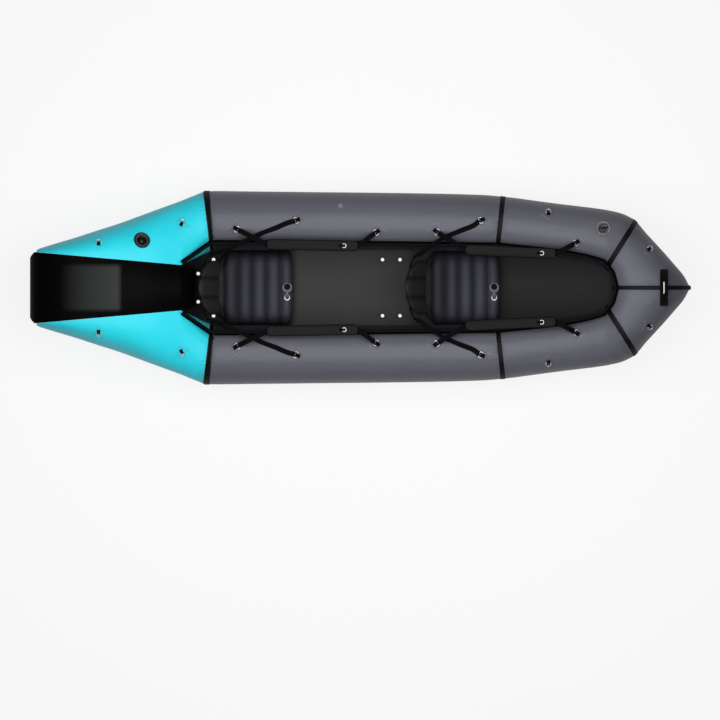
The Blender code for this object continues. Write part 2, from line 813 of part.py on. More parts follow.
def resting_height(hull, x, y, half):
    """Height of the coaming's hem under a strap that lies over this place, from its highest point there."""
    heights = []
    for i in (-1, 0, 1):
        for j in range(-HEM_SAMPLES, HEM_SAMPLES + 1):
            ray = Vector((x + i * half, y + j * half / HEM_SAMPLES, LENGTH))
            point = hull.coaming_tree.ray_cast(ray, Vector((0, 0, -1)))[0]
            if point is not None and point.z > coaming_top(x) - COAMING_HEM_DEPTH:
                heights.append(point.z)
    return max(heights, default=coaming_top(x))


HEM_SAMPLES = 8
COAMING_SECTION_SHARES = (
    (COAMING_WALL / COAMING_HEM, 1.0),
    (1.0, 0.7),
    (1.0, 0.3),
    (0.45, 0.0),
    (-0.45, 0.0),
    (-1.0, 0.3),
    (-1.0, 0.7),
    (-COAMING_WALL / COAMING_HEM, 1.0),
)


def hull_underside():
    """Lower envelope of the tubes along the boat, as (x, z) points that rise to the bow."""
    places = np.linspace(STERN_JOINT, CENTRE_SEAM, 120)
    points = [p for place in places for p in tube_ring(float(place))]
    points = sorted((p.x, p.z) for p in points)
    under = []
    for point in points:
        while len(under) > 1:
            (ax, az), (bx, bz) = under[-2:]
            if (bx - ax) * (point[1] - az) - (bz - az) * (point[0] - ax) > 0:
                break
            under.pop()
        under.append(point)
    return under


def floor_sheet():
    """The boat's bottom: one sheet, flat under the cockpit and rising to the bow, with drain holes."""
    under = hull_underside()
    rings = []
    for share, half in SHEET_OUTLINE_SHARES:
        x = share * HALF_LENGTH
        y = half * HALF_BEAM
        top = float(np.interp(x, [p[0] for p in under], [p[1] for p in under])) - FIT - SHEET_SLACK
        top = max(top, FLOOR_THICKNESS)
        if x < 0:
            top = FLOOR_THICKNESS
        rings.append([Vector((x, s * y, top - drop)) for s, drop in SHEET_CORNERS])
    sheet = loft("floor_sheet", rings, "floor_fabric", smooth=False)
    for x_share, y_share in DRAIN_SHARES:
        for side in (1, -1):
            bpy.ops.mesh.primitive_cylinder_add(
                vertices=DRAIN_SIDES,
                radius=DRAIN_DIAMETER / 2,
                depth=CUT_OVERRUN,
                location=(x_share * HALF_LENGTH, side * y_share * HALF_BEAM, 0),
            )
            tool = bpy.context.object
            sheet = cut(sheet, tool)
            bpy.data.objects.remove(tool)
    return sheet


SHEET_CORNERS = ((1, 0), (-1, 0), (-1, FLOOR_THICKNESS), (1, FLOOR_THICKNESS))
DRAIN_SIDES = 12
SHEET_SLACK = 3 * MM


# Seats


def seat_front(name):
    """Place of a seat's front edge along the boat."""
    if name == "rear":
        return DECK_NOSE_SHARES[-1][0] * HALF_LENGTH + SEAT_DECK_GAP + SEAT_LENGTH
    return FRONT_SEAT_SHARE * HALF_LENGTH


def rib_swell(x, front):
    """How far the rib at this place has risen from its channel, 0 to 1."""
    last_crest = front - SEAT_RIB_PITCH / 2 + SEAT_END_TRIM
    phase = (x - last_crest) / SEAT_RIB_PITCH
    return abs(math.cos(math.pi * phase)) ** RIB_ROUNDNESS_SHARE


SEAT_END_TRIM = 6 * MM


def seat_half_width(x, front):
    """Half width of the seat in plan: an arched back and rounded front corners."""
    full = cockpit_half_width() - SEAT_SIDE_CLEARANCE
    back = front - SEAT_LENGTH
    if x < back + SEAT_BACK_ROUND:
        share = (back + SEAT_BACK_ROUND - x) / SEAT_BACK_ROUND
        full *= math.sqrt(max(1 - share**2, 0))
    if x > front - SEAT_CORNER:
        share = (x - front + SEAT_CORNER) / SEAT_CORNER
        full -= SEAT_CORNER * (1 - math.sqrt(max(1 - share**2, 0)))
    return full


def cockpit_half_width():
    """Half the room between the side tubes at their widest, amidships and at the fore joint."""
    halves = []
    for place in (STERN_JOINT + 1, STERN_JOINT + 2, STERN_JOINT + 3, FORE_JOINT - 1, FORE_JOINT):
        halves.append(min(p.y for p in tube_ring(place)))
    return min(halves)


def seat(name):
    front = seat_front(name)
    back = front - SEAT_LENGTH
    crest = front - SEAT_RIB_PITCH / 2 + SEAT_END_TRIM
    places = [crest + (n + s) * SEAT_RIB_PITCH for n in range(-SEAT_RIBS, 2) for s in RIB_STEPS_SHARES]
    inset = SEAT_END_INSET
    places = [x for x in places if back + 4 * inset < x < front - 4 * inset]
    places = [back + inset, back + 3 * inset] + places
    places += [front - 3 * inset, front - inset]
    rings = []
    for x in places:
        swell = rib_swell(x, front)
        height = SEAT_HEIGHT - SEAT_CHANNEL_DEPTH * (1 - swell)
        half = seat_half_width(x, front) - SEAT_DRAWN_IN * (1 - swell)
        reach = min((x - back) / SEAT_BACK_ROLL, (front - x) / SEAT_FRONT_ROLL, 1)
        height *= 1 - SEAT_ROLL_DROP_SHARE * (1 - reach) ** 2
        bottom = FLOOR_THICKNESS + FIT
        middle = bottom + height * SEAT_MIDDLE_SHARE
        ring = []
        for k in range(SEAT_RING_POINTS):
            angle = math.tau * k / SEAT_RING_POINTS
            rise = height * (1 - SEAT_MIDDLE_SHARE) if math.sin(angle) > 0 else height * SEAT_MIDDLE_SHARE
            y = half * power(math.cos(angle), 2 / SEAT_SQUARENESS)
            z = middle + rise * power(math.sin(angle), 2 / SEAT_SQUARENESS)
            ring.append(Vector((x, y, z)))
        rings.append(ring)
    cushion = loft("seat_" + name, rings, "seat_fabric")
    pocket = drum(seat_valve_place(name), SEAT_VALVE_RADIUS + FIT, SEAT_VALVE_DEPTH + FIT, CUT_OVERRUN)
    cushion = cut(cushion, pocket)
    bpy.data.objects.remove(pocket)
    return cushion


SEAT_END_INSET = 3 * MM
SEAT_ROLL_DROP_SHARE = 0.55
SEAT_MIDDLE_SHARE = 0.42
SEAT_RING_POINTS = 16


def seat_top():
    return FLOOR_THICKNESS + FIT + SEAT_HEIGHT


def seat_valve_place(name):
    front = seat_front(name)
    return Matrix.Translation((front - SEAT_RIB_PITCH / 2 + SEAT_END_TRIM, 0, seat_top()))


def drum(matrix, radius, depth, rise, sides=24):
    """A cutting cylinder that reaches down by depth and up by rise from the matrix's origin."""
    rings = [
        [
            matrix @ Vector((radius * math.cos(angle), radius * math.sin(angle), h))
            for angle in (math.tau * k / sides for k in range(sides))
        ]
        for h in (-depth, rise)
    ]
    return helper(loft("drum_tool", rings, "black_plastic"))


def seat_valve(name):
    profile = (
        (SEAT_VALVE_BORE, -SEAT_VALVE_DEPTH),
        (SEAT_VALVE_RADIUS, -SEAT_VALVE_DEPTH),
        (SEAT_VALVE_RADIUS, 0),
        (SEAT_VALVE_RADIUS - SEAT_VALVE_LIP, SEAT_VALVE_LIP),
        (SEAT_VALVE_BORE + SEAT_VALVE_LIP, SEAT_VALVE_LIP),
        (SEAT_VALVE_BORE, 0),
    )
    matrix = seat_valve_place(name)
    rings = [[matrix @ p for p in ring] for ring in revolve(profile, 20)]
    return loft(f"seat_valve_{name}", rings, "black_plastic", closed=True)


def seat_plug(name):
    """The plug on its tab, lying open beside the valve on the rib's crest."""
    hinge_y = -(SEAT_VALVE_RADIUS + PLUG_HINGE_GAP)
    disc_y = 2 * hinge_y
    half = PLUG_STRAP_WIDTH / 2
    sides = 16
    start = math.asin(half / PLUG_DISC_RADIUS)
    outline = [Vector((half, hinge_y - PLUG_HINGE_GAP, 0)), Vector((-half, hinge_y - PLUG_HINGE_GAP, 0))]
    for k in range(sides + 1):
        angle = math.pi / 2 + start + (math.tau - 2 * start) * k / sides
        outline.append(
            Vector((PLUG_DISC_RADIUS * math.cos(angle), disc_y + PLUG_DISC_RADIUS * math.sin(angle), 0))
        )
    matrix = seat_valve_place(name)
    tops = (FIT, FIT + PLUG_DISC_THICKNESS)
    rings = [[matrix @ (p + Vector((0, 0, h))) for p in outline] for h in tops]
    plate = loft(f"seat_plug_{name}", rings, "pale_plastic")
    stem_place = matrix @ Matrix.Translation((0, disc_y, FIT + PLUG_DISC_THICKNESS))
    stem = drum(stem_place, PLUG_STEM_RADIUS, PLUG_DISC_THICKNESS / 2, PLUG_STEM_LENGTH, 16)
    plate = cut(plate, stem, "UNION")
    bpy.data.objects.remove(stem)
    return set_origin(plate, matrix @ Vector((0, hinge_y, PLUG_HINGE_RISE)))


def backrest_pivot(name):
    front = seat_front(name)
    rib = front + SEAT_END_TRIM - SEAT_RIB_PITCH * (SEAT_RIBS - 0.5)
    up, ahead = backrest_directions()
    foot = up.z + ahead.z * math.sqrt(1 - BACKREST_FOOT_TAPER_SHARE)
    return Vector((rib, 0, seat_top() + FIT - BACKREST_SETTLE + BACKREST_THICKNESS / 2 * foot))


def backrest_half_width():
    """Half the panel's width at its foot, which leaves a gap to the tube on each side."""
    return cockpit_half_width() - BACKREST_SIDE_CLEARANCE


def backrest_directions():
    """Up along the leaning panel, and square to its face towards the bow."""
    lean = math.radians(BACKREST_LEAN)
    return Vector((-math.sin(lean), 0, math.cos(lean))), Vector((math.cos(lean), 0, math.sin(lean)))


def backrest(name):
    """Arched inflated panel that stands on the seat's rear rib and leans back."""
    pivot = backrest_pivot(name)
    up, ahead = backrest_directions()
    radius = BACKREST_THICKNESS / 2
    rings = []
    for share in BACKREST_STATION_SHARES:
        above = max(share - BACKREST_SHOULDER_SHARE, 0) / (1 - BACKREST_SHOULDER_SHARE)
        swell = math.sqrt(max(1 - above ** 2, 0))
        foot = min(share / BACKREST_FOOT_SHARE, 1)
        thick = radius * math.sqrt(1 - (1 - foot) ** 2 * BACKREST_FOOT_TAPER_SHARE)
        thick *= math.sqrt(swell)
        half = backrest_half_width() * swell
        middle = pivot + up * (share * (BACKREST_HEIGHT - radius) - radius * (1 - foot))
        ring = []
        for k in range(BACKREST_RING_POINTS):
            angle = math.tau * k / BACKREST_RING_POINTS
            across = power(math.cos(angle), 2 / BACKREST_SQUARENESS)
            depth = power(math.sin(angle), 2 / BACKREST_SQUARENESS)
            bow = BACKREST_WRAP * (across * swell) ** 2
            ring.append(middle + Vector((0, across * half, 0)) + ahead * (thick * depth + bow))
        rings.append(ring)
    panel = loft("backrest_" + name, rings, "black_fabric")
    return set_origin(panel, pivot)


BACKREST_SHOULDER_SHARE = 0.30
BACKREST_FOOT_SHARE = 0.10
BACKREST_FOOT_TAPER_SHARE = 0.90
BACKREST_RING_POINTS = 16


# Straps


def smooth_route(points, steps):
    """Points of a smooth curve through a route's own points."""
    found = []
    last = len(points) - 1
    for i in range(last):
        a, b, c, d = (points[min(max(i + k, 0), last)] for k in (-1, 0, 1, 2))
        for step in range(steps):
            t = step / steps
            found.append(
                (
                    2 * b
                    + (c - a) * t
                    + (2 * a - 5 * b + 4 * c - d) * t**2
                    + (3 * b - a - 3 * c + d) * t**3
                )
                / 2
            )
    found.append(points[-1])
    return found


def pad_line(hull, name, lift):
    """The middle of a thigh strap where it lies along the coaming, at a height above the coaming's hem."""
    (ax, ay), (bx, by) = PAD_END_SHARES[name]
    line = []
    for share in PAD_STATION_SHARES:
        x = (ax + (bx - ax) * share) * HALF_LENGTH
        y = (ay + (by - ay) * share) * HALF_BEAM
        line.append(Vector((x, y, resting_height(hull, x, y, PAD_WIDTH / 2) + lift)))
    return line


def thigh_pad(hull, name):
    line = pad_line(hull, name, PAD_LIFT + PAD_THICKNESS / 2)
    rings = []
    last = len(line) - 1
    for i, (point, share) in enumerate(zip(line, PAD_STATION_SHARES)):
        along = (line[min(i + 1, last)] - line[max(i - 1, 0)]).normalized()
        across = Vector((-along.y, along.x, 0)).normalized()
        end = min(share, 1 - share) / PAD_END_SHARE
        width = PAD_WIDTH * (PAD_TIP_SHARE + (1 - PAD_TIP_SHARE) * math.sqrt(1 - (1 - min(end, 1)) ** 2))
        ring = []
        for s, face in PAD_OUTLINE:
            sag = PAD_DROOP * max(-s * width / PAD_WIDTH - PAD_FLAT_SHARE, 0) / (1 - PAD_FLAT_SHARE)
            ring.append(point + across * (width / 2 * s) + Vector((0, 0, face * PAD_THICKNESS / 2 - sag)))
        rings.append(ring)
    return loft(f"thigh_pad_{name}", rings, "pad_fabric")


PAD_END_SHARE = 0.06
PAD_TIP_SHARE = 0.72
PAD_FLAT_SHARE = 0.55
PAD_LIFT = 4 * FIT + WEBBING_THICKNESS
PAD_OUTLINE = (
    (1.0, 0.0),
    (0.9, 0.9),
    (0.55, 1.0),
    (0.0, 1.15),
    (-0.55, 1.0),
    (-0.9, 0.9),
    (-1.0, 0.0),
    (-0.9, -0.9),
    (-0.55, -1.0),
    (0.55, -1.0),
    (0.9, -0.9),
)


def anchor_frame(hull, key):
    shares, heading = ANCHOR_PLACES[key]
    return hull.frame(shares, heading)


def strap_start(frame):
    """Where webbing leaves the far bar of an anchor's loop."""
    point, normal, forward, _ = frame
    return point + forward * (LOOP_LENGTH - WEBBING_THICKNESS) + normal * WEBBING_LIFT


def thigh_webbing(hull, name):
    """Webbing of a thigh strap: up from its rear anchor, along under the pad and down to the front anchor."""
    line = pad_line(hull, name, FIT + WEBBING_THICKNESS / 2)
    back = anchor_frame(hull, f"thigh_{name}_back")
    front = anchor_frame(hull, f"thigh_{name}_front")
    start = strap_start(back)
    finish = strap_start(front)
    climb = start.lerp(line[0], CLIMB_SHARE) + Vector((0, 0, WEBBING_BOW))
    descent = finish.lerp(line[-1], CLIMB_SHARE) + Vector((0, 0, WEBBING_BOW))
    before = line[0].lerp(climb, TUCK_SHARE)
    after = line[-1].lerp(descent, TUCK_SHARE)
    before.z = line[0].z + WEBBING_CLEAR
    after.z = line[-1].z + WEBBING_CLEAR
    rising = smooth_route([start, climb, before, line[0], line[1]], 3)[:-1]
    falling = smooth_route([line[-2], line[-1], after, descent, finish], 3)[1:]
    level = Vector((0, 0, 1))
    ups = [back[1].lerp(level, min(2 * i / len(rising), 1)) for i in range(len(rising))]
    ups += [level for _ in line[1:-1]]
    ups += [level.lerp(front[1], max(2 * (i + 1) / len(falling) - 1, 0)) for i in range(len(falling))]
    points = rising + line[1:-1] + falling
    rings = ribbon_rings(points, ups, WEBBING_WIDTH, WEBBING_THICKNESS)
    webbing = loft(f"thigh_webbing_{name}", rings, "webbing", smooth=False)
    return webbing, max(rings[0], key=lambda corner: corner.y)


CLIMB_SHARE = 0.45
TUCK_SHARE = 0.30
WEBBING_BOW = 21 * MM
WEBBING_CLEAR = 1 * MM


def thigh_strap(hull, name):
    """Pad and webbing of one thigh strap, both hung from the strap's swinging axis."""
    webbing, pivot = thigh_webbing(hull, name)
    pad = thigh_pad(hull, name)
    for piece, base in ((webbing, f"thigh_webbing_{name}"), (pad, f"thigh_pad_{name}")):
        both_sides(set_origin(piece, pivot), base)


# Route of each backrest strap: places along the boat and across it, the height above the coaming's hem as a
# share of the strap's lift there, or none where the strap lies on the tube, and the way its face looks.
BACKREST_STRAP_SHARES = {
    "rear": (
        (-0.2240, 0.664, None, None),
        (-0.2560, 0.618, None, None),
        (-0.2980, 0.565, None, None),
        (-0.3260, 0.515, -2.2, (0.0, 0.7, 0.7)),
        (-0.3540, 0.474, 1.0, (0.0, 0.35, 0.9)),
        (-0.3860, 0.425, 0.6, (-0.2, 0.0, 0.95)),
        (-0.4250, 0.368, -4.5, (-0.6, 0.0, 0.7)),
    ),
    "front": (
        (0.3400, 0.638, None, None),
        (0.3100, 0.598, None, None),
        (0.2720, 0.548, None, None),
        (0.2460, 0.503, -4.2, (0.0, 0.7, 0.7)),
        (0.2230, 0.451, 1.0, (0.0, 0.35, 0.9)),
        (0.2020, 0.400, 0.6, (-0.2, 0.0, 0.95)),
        (0.1800, 0.345, -4.5, (-0.6, 0.0, 0.7)),
    ),
}
STRAP_SKIM = 5 * MM
STRAP_OVER_HEM = 6 * MM
STRAP_HEIGHT_SHARE = 0.50
STRAP_ROUND_SHARES = ((1.24, 0.35), (1.10, -0.15), (0.80, -0.66), (0.42, -0.70), (0.0, -0.70))


def backrest_strap(hull, name):
    """Webbing from each tube's anchor, over the coaming and across the backrest's back, with its anchors."""
    frame = anchor_frame(hull, f"backrest_{name}")
    up, ahead = backrest_directions()
    middle = backrest_pivot(name) + up * STRAP_HEIGHT_SHARE * (BACKREST_HEIGHT - BACKREST_THICKNESS / 2)
    route = [(strap_start(frame) - frame[1] * WEBBING_THICKNESS, frame[1])]
    for sx, sy, above_hem, face in BACKREST_STRAP_SHARES[name]:
        x, y = sx * HALF_LENGTH, sy * HALF_BEAM
        if above_hem is None:
            point, normal = hull.drop(x, y)
            route.append((point + normal * STRAP_SKIM, normal))
        else:
            height = coaming_top(x) + above_hem * STRAP_OVER_HEM
            route.append((Vector((x, y, height)), Vector(face)))
    for wide, deep in STRAP_ROUND_SHARES:
        point = middle + Vector((0, backrest_half_width() * wide, 0)) + ahead * BACKREST_THICKNESS * deep
        route.append((point, -ahead))
    left = smooth_route([point for point, _ in route], 2)
    ups = smooth_route([face.normalized() for _, face in route], 2)
    points = left + [p * Vector((1, -1, 1)) for p in left[-2::-1]]
    ups += [u * Vector((1, -1, 1)) for u in ups[-2::-1]]
    rings = ribbon_rings(points, ups, WEBBING_WIDTH, WEBBING_THICKNESS)
    strap = loft("strap", rings, "webbing", smooth=False)
    near = anchor(hull, f"backrest_{name}")
    far = mirrored(near, "far_anchor")
    return united([strap, near, far], f"backrest_strap_{name}")


# Rings, loops and their patches


def bar_height(wire_radius):
    """Height of a held bar's middle above the hull, over its patch and the webbing round it."""
    return PATCH_OUT + FIT + TAB_WALL + BAR_CLEARANCE + wire_radius


def mount(hull, frame, size, wire_radius, open_bore):
    """A diamond of fabric with its folded tab, as one body that lies a fit's width off the hull."""
    matrix = local_to_world(frame) @ Matrix.Rotation(math.radians(45), 4, "Z")
    half = size / 2
    heights = (-CUT_OVERRUN, CUT_OVERRUN)
    rings = [[matrix @ Vector((u * half, v * half, h)) for u, v in CORNERS] for h in heights]
    prism = loft("mount", rings, "grey_fabric", smooth=False)
    which = 0 if hull_is_tube(frame[0]) else 1
    prism = cut(prism, hull.grown(PATCH_OUT)[which], "INTERSECT")
    whole = united([prism, tab(frame, wire_radius, open_bore)], "mount")
    return cut(whole, hull.grown(FIT)[which])


def hull_is_tube(point):
    return point.x > tube_frame(STERN_JOINT)[0].x


def tab(frame, wire_radius, open_bore):
    """Webbing folded round a bar, with its feet run down past the hull's surface."""
    height = bar_height(wire_radius)
    bore = wire_radius + BAR_CLEARANCE
    outer = bore + TAB_WALL
    matrix = local_to_world(frame)
    sides = 8
    ends = []
    for y in (-TAB_LENGTH / 2, TAB_LENGTH / 2):
        hole = []
        skin = []
        for k in range(sides):
            angle = math.tau * (k + 0.5) / sides
            hole.append(matrix @ Vector((bore * math.cos(angle), y, height + bore * math.sin(angle))))
            u = outer * math.cos(angle)
            v = height + outer * math.sin(angle)
            if math.sin(angle) < 0:
                u = math.copysign(outer + TAB_FOOT * abs(math.sin(angle)), u)
                v = -2 * TAB_FOOT if math.sin(angle) < -0.5 else height - bore
            skin.append(matrix @ Vector((u, y, v)))
        ends.append((hole, skin))
    (hole_a, skin_a), (hole_b, skin_b) = ends
    if not open_bore:
        return loft("tab", [skin_a, skin_b], "webbing", smooth=False)
    else:
        points = hole_a + skin_a + hole_b + skin_b
        faces = []
        for k in range(sides):
            m = (k + 1) % sides
            faces.append((k, m, sides + m, sides + k))
            faces.append((2 * sides + k, 3 * sides + k, 3 * sides + m, 2 * sides + m))
            faces.append((k, 2 * sides + k, 2 * sides + m, m))
            faces.append((sides + k, sides + m, 3 * sides + m, 3 * sides + k))
        return make_solid("tab", points, faces, "webbing", smooth=False)


def d_path():
    """A D in the XY plane: its bar on the Y axis, its bow reaching along +X."""
    half = D_RING_WIDTH / 2
    path = [Vector((0, -half, 0)), Vector((0, 0, 0)), Vector((0, half, 0))]
    for k in range(1, 10):
        angle = math.pi / 2 - math.pi * k / 10
        reach = D_RING_REACH * math.cos(angle) ** D_RING_FULLNESS_SHARE
        path.append(Vector((reach, half * math.sin(angle), 0)))
    return path


def d_ring(hull, name, shares):
    frame = hull.frame(shares)
    droop = Matrix.Rotation(math.radians(D_RING_DROOP), 4, "Y")
    matrix = local_to_world(frame, bar_height(D_RING_WIRE)) @ droop
    rings = [[matrix @ p for p in ring] for ring in wire(d_path(), D_RING_WIRE, 6, Vector((0, 0, 1)))]
    ring = loft("d_ring_" + name, rings, "steel", closed=True)
    return both_sides(set_origin(ring, matrix.translation), "d_ring_" + name)


def anchor_loop(hull, key):
    """Rectangular wire loop that a strap is threaded through."""
    frame = anchor_frame(hull, key)
    matrix = local_to_world(frame, bar_height(LOOP_WIRE))
    w = LOOP_WIDTH / 2
    c = LOOP_CORNER
    n = LOOP_LENGTH
    outline = ((0, -w + c), (0, w - c), (c / 3, w - c / 3), (c, w), (n - c, w), (n - c / 3, w - c / 3))
    outline += ((n, w - c), (n, -w + c), (n - c / 3, -w + c / 3), (n - c, -w), (c, -w), (c / 3, -w + c / 3))
    path = [Vector((x, y, 0)) for x, y in outline]
    rings = [[matrix @ p for p in ring] for ring in wire(path, LOOP_WIRE, 5, Vector((0, 0, 1)))]
    return loft("loop", rings, "steel", closed=True)


def anchor(hull, key):
    """Strap anchor: patch, folded tab and wire loop."""
    frame = anchor_frame(hull, key)
    return united([mount(hull, frame, ANCHOR_PATCH, LOOP_WIRE, False), anchor_loop(hull, key)], "anchor")


def tie_down(hull, name, shares):
    """D-ring on its bar, and the patch with the tab that holds it."""
    frame = hull.frame(shares)
    both_sides(mount(hull, frame, RING_PATCH, D_RING_WIRE, True), "d_ring_patch_" + name)
    d_ring(hull, name, shares)


# Valves and handle


def main_valve(hull, name, shares, radius, chamber_body):
    """Flanged body and sprung button of one inflation valve, and the pocket for it in its chamber."""
    frame = hull.frame(shares)
    matrix = local_to_world(frame)
    inner = radius - VALVE_RIM_BAND
    cup = inner - 2 * VALVE_WALL
    bore = VALVE_STEM_RADIUS + FIT
    body = (
        (bore, -VALVE_BODY_DEPTH),
        (inner, -VALVE_BODY_DEPTH),
        (inner, -VALVE_RIM_DEPTH),
        (radius, -VALVE_RIM_DEPTH),
        (radius, VALVE_RIM_RISE - VALVE_WALL / 2),
        (radius - VALVE_WALL / 2, VALVE_RIM_RISE),
        (inner + VALVE_WALL / 2, VALVE_RIM_RISE),
        (inner, VALVE_RIM_RISE - VALVE_WALL / 2),
        (cup + VALVE_WALL, VALVE_RIM_RISE - VALVE_WALL / 2),
        (cup, -VALVE_WALL),
        (cup - VALVE_WALL, -VALVE_CUP_DEPTH),
        (bore, -VALVE_CUP_DEPTH),
    )
    rings = [[matrix @ p for p in ring] for ring in revolve(body, VALVE_SEGMENTS)]
    loft(f"{name}_body", rings, "black_plastic", closed=True)
    under = -VALVE_CUP_DEPTH + VALVE_TRAVEL + FIT
    button = (
        (0, -VALVE_BODY_DEPTH + VALVE_TRAVEL + FIT),
        (VALVE_STEM_RADIUS, -VALVE_BODY_DEPTH + VALVE_TRAVEL + FIT),
        (VALVE_STEM_RADIUS, under),
        (VALVE_BUTTON_RADIUS, under),
        (VALVE_BUTTON_RADIUS, under + VALVE_WALL / 2),
        (VALVE_BUTTON_RADIUS - VALVE_WALL, under + VALVE_WALL),
        (0, under + VALVE_WALL),
    )
    plunger = lathe(f"{name}_button", button, "black_plastic", VALVE_SEGMENTS)
    plunger.data.transform(matrix)
    set_origin(plunger, matrix.translation)
    pocket = drum(matrix, radius + FIT, VALVE_RIM_DEPTH + FIT, CUT_OVERRUN, VALVE_SEGMENTS)
    throat = drum(matrix, inner + FIT, VALVE_BODY_DEPTH + FIT, CUT_OVERRUN, VALVE_SEGMENTS)
    for tool in (pocket, throat):
        chamber_body = cut(chamber_body, tool)
        bpy.data.objects.remove(tool)
    return chamber_body


VALVE_SEGMENTS = 16


def top_up_valve(hull):
    """Small mouth valve on the left side tube."""
    frame = hull.frame(TOP_UP_PLACE)
    matrix = local_to_world(frame)
    profile = (
        (0, -CUT_OVERRUN / 2),
        (TOP_UP_RADIUS, -CUT_OVERRUN / 2),
        (TOP_UP_RADIUS, TOP_UP_HEIGHT / 3),
        (TOP_UP_RADIUS * TOP_UP_NECK_SHARE, TOP_UP_HEIGHT / 2),
        (TOP_UP_RADIUS * TOP_UP_CAP_SHARE, TOP_UP_HEIGHT),
        (0, TOP_UP_HEIGHT),
    )
    valve = lathe("top_up_valve", profile, "grey_plastic", VALVE_SEGMENTS)
    valve.data.transform(matrix)
    return cut(valve, hull.grown(FIT)[0])


def bow_handle(hull):
    """Wide webbing arched over the bow, sewn down at both feet."""
    x = HANDLE_PLACE_SHARE * HALF_LENGTH
    half = HANDLE_SPAN / 2
    crest = hull.drop(x, SEAM_GAP)[0].z
    foot = hull.drop(x, half)[0].z
    top = crest + HANDLE_RISE - HANDLE_THICKNESS / 2
    route = []
    for share in HANDLE_ARCH_SHARES:
        arch = math.sqrt(max(1 - abs(share) ** HANDLE_SQUARENESS, 0))
        height = foot - HANDLE_THICKNESS + (top - foot + HANDLE_THICKNESS) * arch
        route.append(Vector((x, share * half, height)))
    ups = [Vector((0, HANDLE_SPREAD_SHARE * share, 1)) for share in HANDLE_ARCH_SHARES]
    rings = ribbon_rings(route, ups, HANDLE_WIDTH, HANDLE_THICKNESS)
    handle = loft("bow_handle", rings, "webbing")
    near, _ = hull.grown(FIT)
    far = helper(mirrored(near, "hull_tool_far"))
    handle = cut(handle, near)
    handle = cut(handle, far)
    bpy.data.objects.remove(far)
    return handle


HANDLE_ARCH_SHARES = (-1.0, -0.985, -0.94, -0.84, -0.65, -0.4, 0.0, 0.4, 0.65, 0.84, 0.94, 0.985, 1.0)


def build():
    clear_scene()
    hull = Hull()
    stern_left, _ = stern_side_bodies()
    deck_body()
    spans = {
        "side_tube": (STERN_JOINT, FORE_JOINT),
        "fore_tube": (FORE_JOINT, BOW_JOINT),
        "bow_chamber": (BOW_JOINT, CENTRE_SEAM),
    }
    lefts = {}
    for base, (start, end) in spans.items():
        lefts[base], _ = both_sides(chamber(base, start, end, "grey_fabric"), base)
    centre_tape()
    coaming(hull)
    floor_sheet()
    for name, shares in RING_PLACES.items():
        tie_down(hull, name, shares)
    for key in ANCHOR_PLACES:
        if key.startswith("thigh"):
            both_sides(anchor(hull, key), "anchor_" + key)
    carriers = {"stern_valve": stern_left, "fore_valve": lefts["fore_tube"]}
    for name, (shares, radius) in MAIN_VALVES.items():
        main_valve(hull, name, shares, radius, carriers[name])
    top_up_valve(hull)
    bow_handle(hull)
    for name in SEATS:
        seat(name)
        seat_valve(name)
        seat_plug(name)
        backrest(name)
        backrest_strap(hull, name)
        thigh_strap(hull, name)
    hull.discard_tools()


build()
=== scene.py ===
"""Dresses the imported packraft: chambers, seam tapes, coaming, floor, seats, straps, rings, valves and stage."""

import json
import math

import bmesh
import bpy
import numpy as np
from bpy.props import FloatProperty, FloatVectorProperty, PointerProperty
from mathutils import Matrix, Vector
from mathutils.bvhtree import BVHTree

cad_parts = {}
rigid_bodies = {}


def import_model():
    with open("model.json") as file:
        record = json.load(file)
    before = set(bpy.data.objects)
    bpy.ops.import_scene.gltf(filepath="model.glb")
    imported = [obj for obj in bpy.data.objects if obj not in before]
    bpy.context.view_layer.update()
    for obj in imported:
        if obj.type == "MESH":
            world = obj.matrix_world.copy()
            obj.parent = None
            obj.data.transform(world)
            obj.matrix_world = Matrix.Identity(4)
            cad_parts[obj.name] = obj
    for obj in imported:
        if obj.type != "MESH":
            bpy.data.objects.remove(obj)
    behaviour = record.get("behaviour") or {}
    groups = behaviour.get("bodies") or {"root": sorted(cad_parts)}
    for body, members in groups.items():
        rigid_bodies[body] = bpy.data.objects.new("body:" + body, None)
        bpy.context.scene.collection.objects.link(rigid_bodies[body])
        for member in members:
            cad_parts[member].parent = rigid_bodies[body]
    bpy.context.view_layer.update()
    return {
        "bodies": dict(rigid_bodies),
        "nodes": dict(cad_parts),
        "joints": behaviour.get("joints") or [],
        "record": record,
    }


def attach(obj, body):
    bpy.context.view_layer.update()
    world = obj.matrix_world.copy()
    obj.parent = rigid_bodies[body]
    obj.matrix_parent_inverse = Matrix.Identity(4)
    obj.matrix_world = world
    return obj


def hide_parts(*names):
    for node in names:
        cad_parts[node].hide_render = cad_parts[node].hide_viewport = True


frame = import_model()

bl_info = {
    "name": "Packraft dresser",
    "version": (1, 0, 0),
    "blender": (4, 5, 0),
    "location": "View3D > Sidebar > Packraft",
    "description": "Builds the fabric, seams, straps, seats, valves and stage of an inflatable packraft",
    "category": "Object",
}

MM = 0.001
UP = Vector((0, 0, 1))
MIRROR = Vector((1, -1, 1))
HULL = "hull"

# Whole boat
HALF_LENGTH = 3250 * MM / 2
HALF_BEAM = 954 * MM / 2
STERN_HEIGHT = 537 * MM
BOW_RISE = 175 * MM
TUBE_WIDTH = 293 * MM
TUBE_HEIGHT = 345 * MM
SEAM_GAP = 0.3 * MM
NOSE_TAPE = 1.6 * MM
HULL_BASE = 3.4 * MM
FLOOR_THICKNESS = 3 * MM

